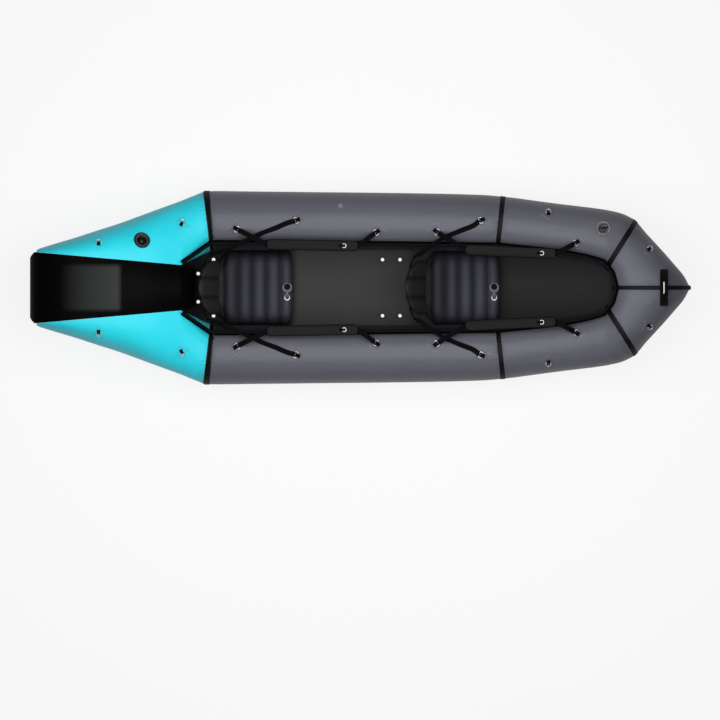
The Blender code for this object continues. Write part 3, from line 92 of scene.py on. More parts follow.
# Hull sections
RING_POINTS = 28
FINE_RING = 112
TUBE_SQUARENESS = 2.3
STERN_SQUARENESS = 2.5
CREASE_POINT = 11
STERN_JOINT, FORE_JOINT, BOW_JOINT, TAPE_EDGE_STATION, CENTRE_SEAM = 0, 5, 11, 17, 18
BOW_JOINT_REACH = 4.0
CENTRE_TAPE_WIDTH = 20.6 * MM

# Stations of one side's tube: outermost point as shares of half the length and beam, innermost point's share of
# half the length, width and height as shares of the tube's, rise as a share of the bow's, lean in degrees.
TUBE_STATION_SHARES = (
    (-0.4705, 0.997, -0.4466, 0.990, 0.957, 0.000, 0.0),
    (-0.4372, 0.997, -0.4251, 0.990, 1.000, 0.000, 0.0),
    (-0.1831, 0.987, -0.1740, 0.973, 1.000, 0.000, 0.0),
    (0.1195, 0.976, 0.1195, 0.9615, 1.000, 0.000, 0.0),
    (0.3313, 0.961, 0.3192, 0.948, 1.000, 0.000, 0.0),
    (0.4312, 0.940, 0.4130, 0.923, 1.000, 0.000, 0.0),
    (0.5129, 0.904, 0.4826, 0.898, 0.993, 0.085, 6.0),
    (0.6036, 0.863, 0.5582, 0.873, 0.972, 0.250, 9.0),
    (0.7247, 0.811, 0.6551, 0.864, 0.943, 0.530, 12.0),
    (0.7852, 0.770, 0.7005, 0.856, 0.949, 0.662, 13.5),
    (0.8154, 0.729, 0.7247, 0.839, 0.952, 0.737, 14.5),
    (0.8336, 0.688, 0.7428, 0.797, 0.965, 0.786, 15.0),
    (0.8608, 0.579, 0.7474, 0.680, 0.998, 0.806, 12.0),
    (0.8911, 0.466, 0.7510, 0.562, 1.018, 0.840, 9.0),
    (0.9213, 0.353, 0.7531, 0.4447, 1.033, 0.874, 6.0),
    (0.9516, 0.234, 0.7543, 0.307, 1.040, 0.914, 3.5),
    (0.9788, 0.124, 0.7549, 0.173, 1.032, 0.960, 1.0),
    (0.9979, 0.0, 0.7555, 0.0, 1.0185, 1.000, 0.0),
    (1.0000, 0.0, 0.7555, 0.0, 1.0185, 1.000, 0.0),
)

# Stern stations: place, half width, bottom, deck seam height and the deck's crown above it
STERN_STATION_SHARES = (
    (-1.0000, 0.304, 0.493, 0.626, 0.008),
    (-0.9982, 0.320, 0.434, 0.695, 0.013),
    (-0.9939, 0.342, 0.377, 0.757, 0.017),
    (-0.9864, 0.369, 0.335, 0.800, 0.020),
    (-0.9758, 0.397, 0.298, 0.835, 0.022),
    (-0.9637, 0.412, 0.268, 0.865, 0.022),
    (-0.9395, 0.438, 0.202, 0.906, 0.024),
    (-0.9092, 0.469, 0.150, 0.938, 0.026),
    (-0.8638, 0.515, 0.085, 0.964, 0.029),
    (-0.8033, 0.582, 0.032, 0.967, 0.0355),
    (-0.7277, 0.665, 0.002, 0.933, 0.042),
    (-0.6369, 0.778, 0.000, 0.868, 0.050),
    (-0.5431, 0.895, 0.000, 0.738, 0.068),
)
SHOULDER_SHARE = STERN_STATION_SHARES[-1][0]
DECK_SEAM_SHARES = ((-0.9849, 0.368), (-0.5431, 0.234))
SIDE_BODY_START_SHARE = -0.9800
DECK_NOSE_SHARES = (
    (-0.5250, 0.965, 0.000, 0.935),
    (-0.5098, 0.895, 0.025, 0.790),
    (-0.5008, 0.790, 0.130, 0.580),
)

# Cloth: how far puckers reach from a seam, how far skins swell and sink between seams, and the joint tapes, whose edge
# rows carry a painted highlight
PUCKER_REACH = 40 * MM
SKIN_SWELL = 0.14 * MM
TAPE_FILM = 1.3 * MM
TAPE_EDGE_ROWS = (0, 1, 7, 8)
CENTRE_TAPE_POINTS = (50, -28)

# Coaming
COAMING_TOP = 382 * MM
COAMING_WALL = 5 * MM
COAMING_HEM = 15 * MM
COAMING_HEM_DEPTH = 11 * MM
COAMING_SINK = 16 * MM
COAMING_FOOT_REACH = 16 * MM
COAMING_FOOT_LIFT = 1.1 * MM
COAMING_STEP = 12 * MM
COAMING_ROUTE_SHARES = (
    (-0.5390, 0.2515, 1.120),
    (-0.4932, 0.3600, 1.045),
    (-0.4520, 0.4560, 1.008),
    (-0.4350, 0.4590, 1.002),
    (-0.1831, 0.4540, 1.000),
    (0.1195, 0.4454, 1.000),
    (0.4160, 0.4330, 1.000),
    (0.5129, 0.3990, 1.055),
    (0.6036, 0.3629, 1.140),
    (0.6793, 0.3165, 1.220),
    (0.7337, 0.2650, 1.262),
    (0.7610, 0.1500, 1.284),
    (0.7731, 0.0, 1.292),
)

# Floor sheet
SHEET_OUTLINE_SHARES = (
    (-0.722, 0.420),
    (-0.705, 0.540),
    (-0.668, 0.620),
    (-0.543, 0.680),
    (-0.437, 0.712),
    (0.120, 0.712),
    (0.400, 0.694),
    (0.440, 0.684),
    (0.480, 0.670),
    (0.520, 0.655),
    (0.560, 0.636),
    (0.620, 0.603),
    (0.680, 0.560),
    (0.740, 0.500),
    (0.800, 0.400),
    (0.840, 0.270),
    (0.862, 0.120),
)
DRAIN_SHARES = ((-0.4445, 0.2897), (-0.4911, 0.1454), (0.0666, 0.2890), (0.1195, 0.2890))
DRAIN_RADIUS = 9 * MM
GROMMET_RADIUS = 10.5 * MM

# Seats and backrests
SEAT_FRONT_SHARES = {"rear": -0.2042, "front": 0.4221}
SEAT_LENGTH = 391 * MM
SEAT_HEIGHT = 92 * MM
SEAT_RIBS = 6
SEAT_RIB_PITCH = 69.5 * MM
SEAT_CHANNEL_DEPTH = 24 * MM
SEAT_BACK_ROUND = 86 * MM
SEAT_CORNER = 38 * MM
LAST_CREST = 6 * MM - SEAT_RIB_PITCH / 2
SEAT_HALF_WIDTH = 174.9 * MM
SEAT_SIDE_SWELL = 9 * MM
SEAT_BASE = FLOOR_THICKNESS + 0.4 * MM
SEAT_TOP = SEAT_BASE + SEAT_HEIGHT
CUSHION_FRAMES = 20
CUSHION_CLOTH = {
    "quality": 6, "mass": 0.3, "tension_stiffness": 25, "compression_stiffness": 25, "shear_stiffness": 12,
    "bending_stiffness": 0.4, "use_pressure": True, "uniform_pressure_force": 4.0,
}
BACKREST_HEIGHT = 335 * MM
BACKREST_WIDTH = 263.9 * MM
BACKREST_THICKNESS = 34 * MM
BACKREST_LEAN = math.radians(15.5)
BACKREST_WRAP = 10 * MM
BACKREST_SHOULDER_SHARE = 0.30
BACKREST_FOOT_SHARE = 0.10
BACKREST_FOOT_TAPER_SHARE = 0.90

# Thigh straps, anchors and rings
PAD_END_SHARES = {
    "rear": ((-0.2820, 0.4464), (-0.0088, 0.4299)),
    "front": ((0.3183, 0.3928), (0.5891, 0.3485)),
}
PAD_WIDTH = 48 * MM
PAD_THICKNESS = 7 * MM
PAD_DROOP = 5 * MM
PAD_SEAM_SHARES = (0.17, 0.5, 0.78)
PAD_RING_SHARE = 0.845
PAD_RING_RADIUS = 10 * MM
WEBBING_WIDTH = 25 * MM
WEBBING_THICKNESS = 2 * MM
WEBBING_LIFT = 8.5 * MM
ANCHOR_PLACES = {
    "thigh_rear_back": ((-0.3767, 0.6113), -30),
    "thigh_rear_front": ((0.0499, 0.5794), -145),
    "backrest_rear": ((-0.1915, 0.6979), -158),
    "thigh_front_back": ((0.2284, 0.5845), -36),
    "thigh_front_front": ((0.6551, 0.4711), -145),
    "backrest_front": ((0.3676, 0.6979), -158),
}
BACKREST_STRAP_SHARES = {
    "rear": (
        (-0.2240, 0.664, None, None),
        (-0.2560, 0.618, None, None),
        (-0.2980, 0.565, None, None),
        (-0.3260, 0.515, -2.2, (0.0, 0.7, 0.7)),
        (-0.3540, 0.474, 1.0, (0.0, 0.35, 0.9)),
        (-0.3860, 0.425, 0.6, (-0.2, 0.0, 0.95)),
        (-0.4250, 0.368, -4.5, (-0.6, 0.0, 0.7)),
    ),
    "front": (
        (0.3400, 0.638, None, None),
        (0.3100, 0.598, None, None),
        (0.2720, 0.548, None, None),
        (0.2460, 0.503, -4.2, (0.0, 0.7, 0.7)),
        (0.2230, 0.451, 1.0, (0.0, 0.35, 0.9)),
        (0.2020, 0.400, 0.6, (-0.2, 0.0, 0.95)),
        (0.1800, 0.345, -4.5, (-0.6, 0.0, 0.7)),
    ),
}
STRAP_SKIM = 4 * MM
STRAP_OVER_HEM = 6 * MM
STRAP_ROUND_SHARES = ((1.24, 0.35), (1.10, -0.15), (0.80, -0.66), (0.42, -0.70), (0.0, -0.70))
RING_PLACES = {
    "stern": (-0.7924, 0.4567),
    "shoulder": (-0.5413, 0.6619),
    "fore": (0.5688, 0.7701),
    "bow": (0.8729, 0.3938),
}
D_RING_WIDTH = 27 * MM
D_RING_REACH = 22 * MM
D_RING_WIRE = 2 * MM
D_RING_DROOP = math.radians(5)
LOOP_LENGTH = 14 * MM
LOOP_WIDTH = 30 * MM
LOOP_WIRE = 1.6 * MM
LOOP_CORNER = 4 * MM
PATCH_CORNER = 5 * MM
PATCH_LIFT = 0.9 * MM
PATCH_RING_SHARES = (0.965, 0.8, 0.6, 0.4, 0.2, 0.02)
TAB_THICKNESS = 1.5 * MM
BAR_HEIGHT = 5.5 * MM

# Valves, with their radii and turned profiles in millimetres, and handle
MAIN_VALVES = {
    "stern_valve": ((-0.6611, 0.4918), 40),
    "fore_valve": ((0.7349, 0.6134), 37),
}
MAIN_VALVE_LOOKS = {
    "stern_valve": ("plastic", "bronze", "hollow"),
    "fore_valve": ("pale_bronze", "grey_plastic", "grey_plastic"),
}
TOP_UP_PLACE = (-0.0611, 0.8464)
TOP_UP_PROFILE = (
    (0, -4), (12.5, -4), (12.5, 1.2), (11.7, 2.2), (8.6, 2.8), (8.2, 4), (7.9, 8.2), (7.0, 9.0), (3, 9.2), (0, 9.2),
)
PLUNGER = (
    (0, -16), (4, -16), (4, -10.6), (9.6, -10.6), (10.8, -9.6), (10.8, -8.4), (9.6, -7.6), (4, -7.2), (2.6, -6.6),
    (0, -6.4),
)
SEAT_VALVE_RADIUS = 24
HANDLE_PLACE_SHARE = 0.9183
HANDLE_WIDTH = 39 * MM
HANDLE_SPAN = 178 * MM
HANDLE_RISE = 41 * MM

# Stage: names, places, turns about X in degrees, sizes and shares of the lamp power of the softboxes
STUDIO_HALF = 30.0
PAPER_COLOUR = (0.74, 0.74, 0.74, 1)
AIR_COLOUR = (0.93, 0.96, 1.0, 1)
SOFTBOXES = (
    ("overhead_softbox", (0.0, 0.0, 3.2), 0, (4.2, 2.4), 1.0),
    ("left_softbox", (0.0, 3.4, 2.2), -57, (4.0, 1.0), 0.04),
    ("right_softbox", (0.0, -3.4, 2.2), 57, (4.0, 1.0), 0.04),
)
CAMERA_SPAN = 3.540
CAMERA_PLACE = (-0.0025, -0.3555, 6.0)


def srgb(red, green, blue):
    """A colour as the eye reads it off a screen, 0 to 255, turned into light."""
    def light(value):
        value /= 255
        return value / 12.92 if value <= 0.04045 else ((value + 0.055) / 1.055) ** 2.4

    return (light(red), light(green), light(blue))


def settings():
    return bpy.context.scene.packraft


# Shader maths


def new_node(tree, kind, inputs=None, output=0, **options):
    """Adds a node with its options and inputs, and gives back one of its output sockets."""
    made = tree.nodes.new(kind)
    for key, value in options.items():
        setattr(made, key, value)
    for key, value in (inputs or {}).items():
        if isinstance(value, bpy.types.NodeSocket):
            tree.links.new(value, made.inputs[key])
        else:
            made.inputs[key].default_value = value
    return made.outputs[output] if made.outputs else None


class Signal:
    """A node's output socket that can be used in an expression."""

    def __init__(self, paint, socket):
        self.paint = paint
        self.socket = socket

    def maths(self, operation, first, second):
        return self.paint.node("ShaderNodeMath", {0: first, 1: second}, operation=operation)

    def __add__(self, other):
        return self.maths("ADD", self, other)

    def __mul__(self, other):
        return self.maths("MULTIPLY", self, other)

    def __sub__(self, other):
        return self.maths("SUBTRACT", self, other)

    def __rsub__(self, other):
        return self.maths("SUBTRACT", other, self)

    __radd__ = __add__
    __rmul__ = __mul__


class Paint:
    """One material, with short ways to make its nodes."""

    def __init__(self, name, roughness, metallic=0.0, sheen=0.0, specular=0.5):
        self.material = bpy.data.materials.new(name)
        self.material.use_nodes = True
        self.tree = self.material.node_tree
        self.shader = self.tree.nodes["Principled BSDF"]
        values = {"Roughness": roughness, "Metallic": metallic, "Sheen Weight": sheen, "Specular IOR Level": specular}
        for key, value in values.items():
            self.shader.inputs[key].default_value = value

    def node(self, kind, inputs=None, output=0, **options):
        plain = {key: value.socket if isinstance(value, Signal) else value for key, value in (inputs or {}).items()}
        return Signal(self, new_node(self.tree, kind, plain, output, **options))

    def coordinates(self, kind="Object"):
        return self.node("ShaderNodeTexCoord", output=kind)

    def part(self, vector, axis):
        return self.node("ShaderNodeSeparateXYZ", {0: vector}, axis)

    def stretched(self, vector, scale):
        return self.node("ShaderNodeMapping", {"Vector": vector, "Scale": scale})

    def noise(self, vector, scale, detail=3.0, roughness=0.5):
        inputs = {"Vector": vector, "Scale": scale, "Detail": detail, "Roughness": roughness}
        return self.node("ShaderNodeTexNoise", inputs, "Fac")

    def wave(self, vector, scale, direction="X"):
        inputs = {"Vector": vector, "Scale": scale}
        return self.node("ShaderNodeTexWave", inputs, "Fac", wave_type="BANDS", bands_direction=direction)

    def attribute(self, name):
        return self.node("ShaderNodeAttribute", output="Fac", attribute_name=name)

    def ramp(self, signal, stops):
        """Grey values at places from 0 to 1 along a signal."""
        made = self.node("ShaderNodeValToRGB", {"Fac": signal})
        elements = made.socket.node.color_ramp.elements
        while len(elements) < len(stops):
            elements.new(1.0)
        for element, (place, value) in zip(elements, stops):
            element.position = place
            element.color = (value, value, value, 1)
        return made

    def blend(self, factor, first, second):
        """Mix of two colours, each a triple or a signal."""
        first, second = (colour if isinstance(colour, Signal) else (*colour, 1) for colour in (first, second))
        return self.node("ShaderNodeMix", {0: factor, 6: first, 7: second}, 2, data_type="RGBA")

    def bump(self, height, distance, strength, under=None):
        inputs = {"Height": height, "Distance": distance, "Strength": strength}
        if under is not None:
            inputs["Normal"] = under
        return self.node("ShaderNodeBump", inputs, "Normal")

    def done(self, colour, roughness, normal):
        for key, signal in (("Base Color", colour), ("Roughness", roughness), ("Normal", normal)):
            self.tree.links.new(signal.socket, self.shader.inputs[key])
        return self.material


def scaled(colour, factor):
    return tuple(min(channel * factor, 1.0) for channel in colour)


def coated_fabric(name, colour, roughness=0.42, weave=0.5, crease=1.0, specular=0.5, seam_dark=0.62, shaded=None):
    """Woven nylon with a satin coating: faint threads, soft creases, puckers at its seams and light scuffs."""
    paint = Paint(name, roughness, sheen=0.05 * specular, specular=specular)
    place = paint.coordinates()
    cloth = paint.coordinates("UV")
    cloud = paint.noise(place, 2.2, 4.0, 0.55)
    mottle = paint.noise(place, 38.0, 3.0)
    rubbed = paint.noise(paint.stretched(place, (9.0, 30.0, 30.0)), 5.0, 6.0, 0.7)
    scuff = paint.ramp(rubbed, ((0.60, 0.0), (0.72, 1.0)))
    base = paint.blend(cloud * 0.9 + mottle * 0.1, scaled(colour, 0.86), scaled(colour, 1.12))
    base = paint.blend(scuff * 0.10, base, scaled(colour, 1.7))
    near_seam = paint.attribute("seam")
    # Cloth is darker near its seams: a little on most cloth, and strongly where seam_dark is below 0.5, along the
    # backrests' quilting channels and on the seats, where it is painted shade in the channels between the ribs.
    base = paint.blend(near_seam * (0.30 if seam_dark > 0.5 else 0.9), base, scaled(colour, seam_dark))
    # Painted light over the cloth's own colour: darker for the floor's and seats' painted shade, lighter for the deck's
    # painted highlight.
    if shaded:
        where, shade = shaded
        base = paint.blend(where(paint, place, cloth), base, shade)
    threads = paint.wave(cloth, 420.0, "X") * 0.5 + paint.wave(cloth, 420.0, "Y") * 0.5
    ripstop = paint.ramp(paint.wave(cloth, 32.0, "X"), ((0.955, 0.0), (1.0, 1.0)))
    ripstop_across = paint.ramp(paint.wave(cloth, 32.0, "Y"), ((0.955, 0.0), (1.0, 1.0)))
    normal = paint.bump(threads * 0.35 + ripstop * 0.35 + ripstop_across * 0.35, 0.25 * MM, weave)
    creases = paint.noise(paint.stretched(place, (7.0, 16.0, 16.0)), 1.0, 5.0, 0.6)
    normal = paint.bump(creases, 6 * MM, 0.35 * crease, normal)
    puckers = paint.noise(paint.stretched(cloth, (14.0, 90.0, 1.0)), 1.0, 3.0, 0.55)
    normal = paint.bump(puckers * near_seam, 9 * MM, 0.9 * crease, normal)
    shine = roughness - 0.06 + cloud * 0.12 + scuff * 0.10
    return paint.done(base, shine, normal)


def tape_film(name, colour, roughness, specular=0.18):
    """Seam tape: smooth film that shows the weave only faintly and wrinkles across its length."""
    paint = Paint(name, roughness, specular=specular)
    cloud = paint.noise(paint.coordinates(), 9.0, 4.0)
    base = paint.blend(cloud, scaled(colour, 0.7), scaled(colour, 1.6))
    wrinkle = paint.noise(paint.stretched(paint.coordinates("UV"), (60.0, 12.0, 1.0)), 1.0, 4.0, 0.6)
    return paint.done(base, roughness - 0.05 + cloud * 0.16, paint.bump(wrinkle, 2.2 * MM, 0.5))


def woven_webbing(name, colour):
    """Polyester webbing: a herringbone face with ribbed edges and a little fluff."""
    paint = Paint(name, 0.78, sheen=0.01, specular=0.06)
    cloth = paint.coordinates("UV")
    herring = paint.node("ShaderNodeMath", {0: paint.part(cloth, "X"), 1: 3.2 * MM}, operation="PINGPONG")
    skewed = paint.node("ShaderNodeCombineXYZ", {"X": herring, "Y": paint.part(cloth, "Y")})
    ribs = paint.wave(skewed, 260.0, "DIAGONAL")
    fluff = paint.noise(paint.coordinates(), 700.0, 2.0)
    base = paint.blend(ribs * 0.6 + fluff * 0.3, scaled(colour, 0.55), scaled(colour, 1.9))
    normal = paint.bump(ribs * 0.7 + paint.wave(cloth, 300.0) * 0.3, 0.5 * MM, 0.9)
    normal = paint.bump(fluff, 0.15 * MM, 0.6, normal)
    return paint.done(base, 0.70 + fluff * 0.2, normal)


def pad_cloth(name, colour):
    """Foam-backed knit with a dimpled face."""
    paint = Paint(name, 0.72, sheen=0.02, specular=0.10)
    place = paint.coordinates()
    dimples = paint.node("ShaderNodeTexVoronoi", {"Vector": place, "Scale": 330.0}, "Distance", feature="F1")
    cloud = paint.noise(place, 16.0, 4.0)
    base = paint.blend(dimples * 0.8 + cloud * 0.3, scaled(colour, 0.6), scaled(colour, 1.6))
    normal = paint.bump(cloud, 3 * MM, 0.4, paint.bump(dimples, 0.5 * MM, 0.8))
    return paint.done(base, 0.62 + cloud * 0.2, normal)


def moulded_plastic(name, colour, roughness=0.42, specular=0.35):
    """Moulded plastic with a fine eggshell grain and polish on its handled edges."""
    paint = Paint(name, roughness, specular=specular)
    place = paint.coordinates()
    cloud = paint.noise(place, 45.0, 3.0)
    base = paint.blend(cloud, scaled(colour, 0.8), scaled(colour, 1.3))
    normal = paint.bump(paint.noise(place, 900.0, 2.0), 0.12 * MM, 0.6)
    return paint.done(base, roughness - 0.08 + cloud * 0.16, normal)


def brushed_steel(name, colour):
    """Welded steel wire, drawn along its length and dulled by handling."""
    paint = Paint(name, 0.3, metallic=0.9)
    place = paint.coordinates()
    drawn = paint.noise(paint.stretched(place, (260.0, 900.0, 900.0)), 1.0, 2.0)
    smear = paint.noise(place, 60.0, 3.0)
    base = paint.blend(smear, scaled(colour, 0.72), colour)
    return paint.done(base, 0.22 + smear * 0.2 + drawn * 0.06, paint.bump(drawn, 0.05 * MM, 0.5))


MATERIALS = {}


def floor_shade(paint, place, cloth):
    """Painted shade: the sheet is darker beside the rear seat and ahead of the front backrest."""
    stops = ((0.327, 1.0), (0.345, 0.0), (0.612, 0.0), (0.634, 1.0), (1.0, 1.0))
    return paint.ramp(paint.part(place, "X") * 0.5 + 0.5, stops)


def seat_shade(paint, place, cloth):
    """Painted shade: a seat is darker along its sides, towards its backrest and a little on its left half."""
    across = paint.part(cloth, "Y") * 2.5 + 0.5
    rear = paint.ramp(paint.part(cloth, "X") * 2.5 + 1.0, ((0.0, 1.0), (0.16, 0.85), (0.60, 0.0), (1.0, 0.0)))
    side = paint.ramp(across, ((0.06, 1.0), (0.18, 0.0), (0.80, 0.0), (0.92, 1.0)))
    left = paint.ramp(across, ((0.42, 0.0), (0.62, 0.22)))
    dark = rear + side - rear * side
    return dark + left - dark * left


def deck_gleam(paint, place, cloth):
    """Painted highlight: a lit band along the crest of the stern deck, inside its seams."""
    away = paint.node("ShaderNodeMath", {0: paint.part(place, "Y")}, operation="ABSOLUTE")
    stops = ((0.262, 0.0), (0.32, 0.55), (0.402, 1.0), (0.414, 0.0))
    crest = paint.ramp(paint.part(place, "X") * 0.5 + 1.0, stops)
    return crest * paint.ramp(away * 5.0, ((0.50, 1.0), (0.60, 0.0)))


def make_materials():
    look = settings()
    hull, stern, deck, floor, seat, pad = (
        tuple(getattr(look, name + "_colour")) for name in ("hull", "stern", "deck", "floor", "seat", "pad")
    )
    # Painted shade on the floor and seats: where it falls, and the darker colour that it turns the cloth towards.
    floor_look, seat_look = (floor_shade, scaled(floor, 0.36)), (seat_shade, scaled(seat, 0.30))
    # Colour of the deck's painted highlight.
    deck_look = (deck_gleam, srgb(52, 54, 53))
    stern_patch = scaled(stern, 0.92)
    MATERIALS.update(
        turquoise=coated_fabric("turquoise_coated_fabric", stern, 0.40, specular=0.22),
        grey=coated_fabric("grey_coated_fabric", hull, 0.36, specular=0.20),
        deck=coated_fabric("black_coated_fabric", deck, 0.50, specular=0.03, shaded=deck_look),
        # Cloth inside the cockpit, below the coaming: the hull's blue-grey, much darker.
        inner=coated_fabric("inner_wall_fabric", srgb(34, 34, 41), 0.52, specular=0.2),
        coaming=coated_fabric("coaming_fabric", srgb(4, 4, 5), 0.66, 0.8, specular=0.08),
        floor=coated_fabric("floor_fabric", floor, 0.55, 0.7, 0.7, 0.10, 0.62, floor_look),
        patch=coated_fabric("patch_fabric", scaled(hull, 0.92), 0.40, 0.8, specular=0.20),
        turquoise_patch=coated_fabric("turquoise_patch_fabric", stern_patch, 0.42, 0.8, specular=0.22),
        seat=coated_fabric("seat_fabric", seat, 0.44, 0.6, 0.8, 0.10, 0.14, seat_look),
        backrest=coated_fabric("backrest_fabric", srgb(42, 42, 40), 0.52, 0.8, 0.8, 0.15, 0.3),
        weld=tape_film("weld_line", srgb(15, 15, 19), 0.60),
        tape=tape_film("seam_tape_film", srgb(3, 3, 4), 0.62),
        # Painted highlight: a pale band on the raised edges of the seam tapes.
        tape_edge=tape_film("seam_tape_edge", srgb(128, 130, 138), 0.50, 0.4),
        glue=tape_film("glue_line", srgb(118, 120, 128), 0.40, 0.4),
        webbing=woven_webbing("black_webbing", srgb(6, 6, 7)),
        binding=woven_webbing("binding_tape", srgb(4, 4, 5)),
        thread=woven_webbing("sewing_thread", srgb(30, 30, 33)),
        pad=pad_cloth("pad_knit", pad),
        plastic=moulded_plastic("black_plastic", srgb(10, 10, 12)),
        grey_plastic=moulded_plastic("grey_plastic", srgb(84, 82, 88)),
        pale_plastic=moulded_plastic("pale_plastic", srgb(206, 206, 212), 0.36),
        bronze=moulded_plastic("bronze_plastic", srgb(70, 62, 60), 0.45),
        silver_plastic=moulded_plastic("silver_plastic", srgb(118, 118, 124)),
        pale_bronze=moulded_plastic("pale_bronze_plastic", srgb(112, 103, 98)),
        hollow=moulded_plastic("valve_bore_rubber", srgb(3, 3, 5), 0.6, 0.08),
        label=moulded_plastic("blank_label", srgb(214, 216, 214), 0.5),
        steel=brushed_steel("drawn_steel", (0.86, 0.86, 0.88)),
    )


# Meshes and pieces


def placed(name, data):
    """A new object in the scene."""
    obj = bpy.data.objects.new(name, data)
    bpy.context.scene.collection.objects.link(obj)
    return obj


def link(name, mesh, materials):
    for material in materials:
        mesh.materials.append(MATERIALS[material])
    mesh.shade_smooth()
    return placed(name, mesh)


def face_out(mesh, weld=0):
    """Turns all faces outward, after welding points that lie closer than the given distance."""
    shape = bmesh.new()
    shape.from_mesh(mesh)
    if weld:
        bmesh.ops.remove_doubles(shape, verts=shape.verts, dist=weld)
    bmesh.ops.recalc_face_normals(shape, faces=shape.faces)
    shape.to_mesh(mesh)
    shape.free()


def solid(name, points, faces, materials, slots=None, sharp=40):
    mesh = bpy.data.meshes.new(name)
    mesh.from_pydata([tuple(p) for p in points], [], faces)
    if slots is not None:
        mesh.polygons.foreach_set("material_index", slots)
    face_out(mesh)
    obj = link(name, mesh, materials)
    if sharp:
        mesh.set_sharp_from_angle(angle=math.radians(sharp))
    return obj


def add_cloth_map(obj, positions):
    """Gives every face corner the place on the flat cloth of the point that it touches."""
    mesh = obj.data
    layer = mesh.uv_layers.new(name="cloth")
    corners = np.empty(len(mesh.loops), np.int32)
    mesh.loops.foreach_get("vertex_index", corners)
    layer.data.foreach_set("uv", np.asarray(positions, np.float32)[corners].ravel())


def add_value(obj, name, values):
    layer = obj.data.attributes.new(name, "FLOAT", "POINT")
    layer.data.foreach_set("value", np.asarray(values, np.float32))


def grid_faces(rows, columns, wrap_rows=False):
    """Faces between rings of points, from the first ring to the last and on to the first again if wrapped."""
    faces = []
    for i in range(rows if wrap_rows else rows - 1):
        a, b = i * columns, (i + 1) % rows * columns
        for k in range(columns):
            m = (k + 1) % columns
            faces.append((a + k, a + m, b + m, b + k))
    return faces


def capped_faces(rows, columns):
    """A grid of faces with a face over each end."""
    ends = [tuple(range(columns)), tuple((rows - 1) * columns + k for k in range(columns))]
    return grid_faces(rows, columns) + ends


def distances(points):
    """How far along a line each of its points is."""
    return np.concatenate([[0], np.cumsum([(b - a).length for a, b in zip(points, points[1:])])])


def skin(name, rings, materials, slot_of=None, wrap_rows=False, seam=None, sharp=40):
    """A closed skin through rings of points, with a cloth map in metres along and round it."""
    rows, columns = len(rings), len(rings[0])
    points = np.array([[tuple(p) for p in ring] for ring in rings])
    faces = grid_faces(rows, columns, True) if wrap_rows else capped_faces(rows, columns)
    slots = None
    if slot_of:
        slots = [slot_of(sum(points.reshape(-1, 3)[v] for v in face) / len(face)) for face in faces]
    obj = solid(name, points.reshape(-1, 3), faces, materials, slots, sharp)
    along = np.concatenate([[0], np.cumsum(np.linalg.norm(np.diff(points, axis=0), axis=2).mean(axis=1))])
    around = np.concatenate([[0], np.cumsum(np.linalg.norm(np.diff(points, axis=1), axis=2).mean(axis=0))])
    add_cloth_map(obj, np.stack(np.meshgrid(along, around, indexing="ij"), axis=-1).reshape(-1, 2))
    if seam is not None:
        add_value(obj, "seam", np.repeat(seam, columns))
    return obj


def baked(obj):
    """Works an object's modifiers into its mesh."""
    graph = bpy.context.evaluated_depsgraph_get()
    mesh = bpy.data.meshes.new_from_object(obj.evaluated_get(graph), preserve_all_data_layers=True, depsgraph=graph)
    obj.modifiers.clear()
    obj.data = mesh
    return obj


def cut(obj, tool):
    modifier = obj.modifiers.new("cut", "BOOLEAN")
    modifier.operation = "DIFFERENCE"
    modifier.object = tool
    modifier.solver = "EXACT"
    baked(obj)
    bpy.data.objects.remove(tool)
    return obj


def mirrored(obj, name):
    mesh = obj.data.copy()
    points = np.empty(len(mesh.vertices) * 3, np.float32)
    mesh.vertices.foreach_get("co", points)
    points[1::3] *= -1
    mesh.vertices.foreach_set("co", points)
    mesh.flip_normals()
    return placed(name, mesh)


def joined(pieces, name):
    """Several meshes as one object, with all their materials."""
    bpy.context.evaluated_depsgraph_get().update()
    whole = pieces[0]
    with bpy.context.temp_override(active_object=whole, selected_editable_objects=pieces):
        bpy.ops.object.join()
    whole.name = name
    return whole


def dress(obj, body=HULL, replaces=()):
    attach(obj, body)
    if replaces:
        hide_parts(*replaces)
    return obj


def dress_both(obj, base, body=None, replaces=None):
    """Dresses a left piece and its mirrored copy. Names in body and replaces end with the side."""
    pair = []
    for side, piece in (("left", obj), ("right", mirrored(obj, base + "_right"))):
        piece.name = f"{base}_{side}"
        nodes = [f"{node}_{side}" for node in replaces or ()]
        pair.append(dress(piece, f"{body}_{side}" if body else HULL, nodes))
    return pair


# Geometry node trees


def node_tree(name, inputs):
    """A tree with one geometry in, one out and named inputs, and the sockets that those inputs come in by."""
    tree = bpy.data.node_groups.new(name, "GeometryNodeTree")
    for way in ("OUTPUT", "INPUT"):
        tree.interface.new_socket("Geometry", in_out=way, socket_type="NodeSocketGeometry")
    for label, kind, default in inputs:
        socket = tree.interface.new_socket(label, in_out="INPUT", socket_type="NodeSocket" + kind)
        if default is not None:
            socket.default_value = default
    return tree, tree.nodes.new("NodeGroupInput").outputs


def even_curve(tree, given, step):
    """The given lines as a curve with points at even steps."""
    line = new_node(tree, "GeometryNodeMeshToCurve", {"Mesh": given["Geometry"]})
    return new_node(tree, "GeometryNodeResampleCurve", {"Curve": line, "Length": given[step]}, mode="LENGTH")


def balls(tree, points, direction, size, segments, rings):
    """A ball of the given size on each point, turned along a direction."""
    turn = new_node(tree, "FunctionNodeAlignRotationToVector", {"Vector": direction}, axis="X")
    ball = new_node(tree, "GeometryNodeMeshUVSphere", {"Segments": segments, "Rings": rings, "Radius": 1.0})
    shaped = new_node(tree, "GeometryNodeTransform", {"Geometry": ball, "Scale": size})
    return new_node(tree, "GeometryNodeInstanceOnPoints", {"Points": points, "Instance": shaped, "Rotation": turn})


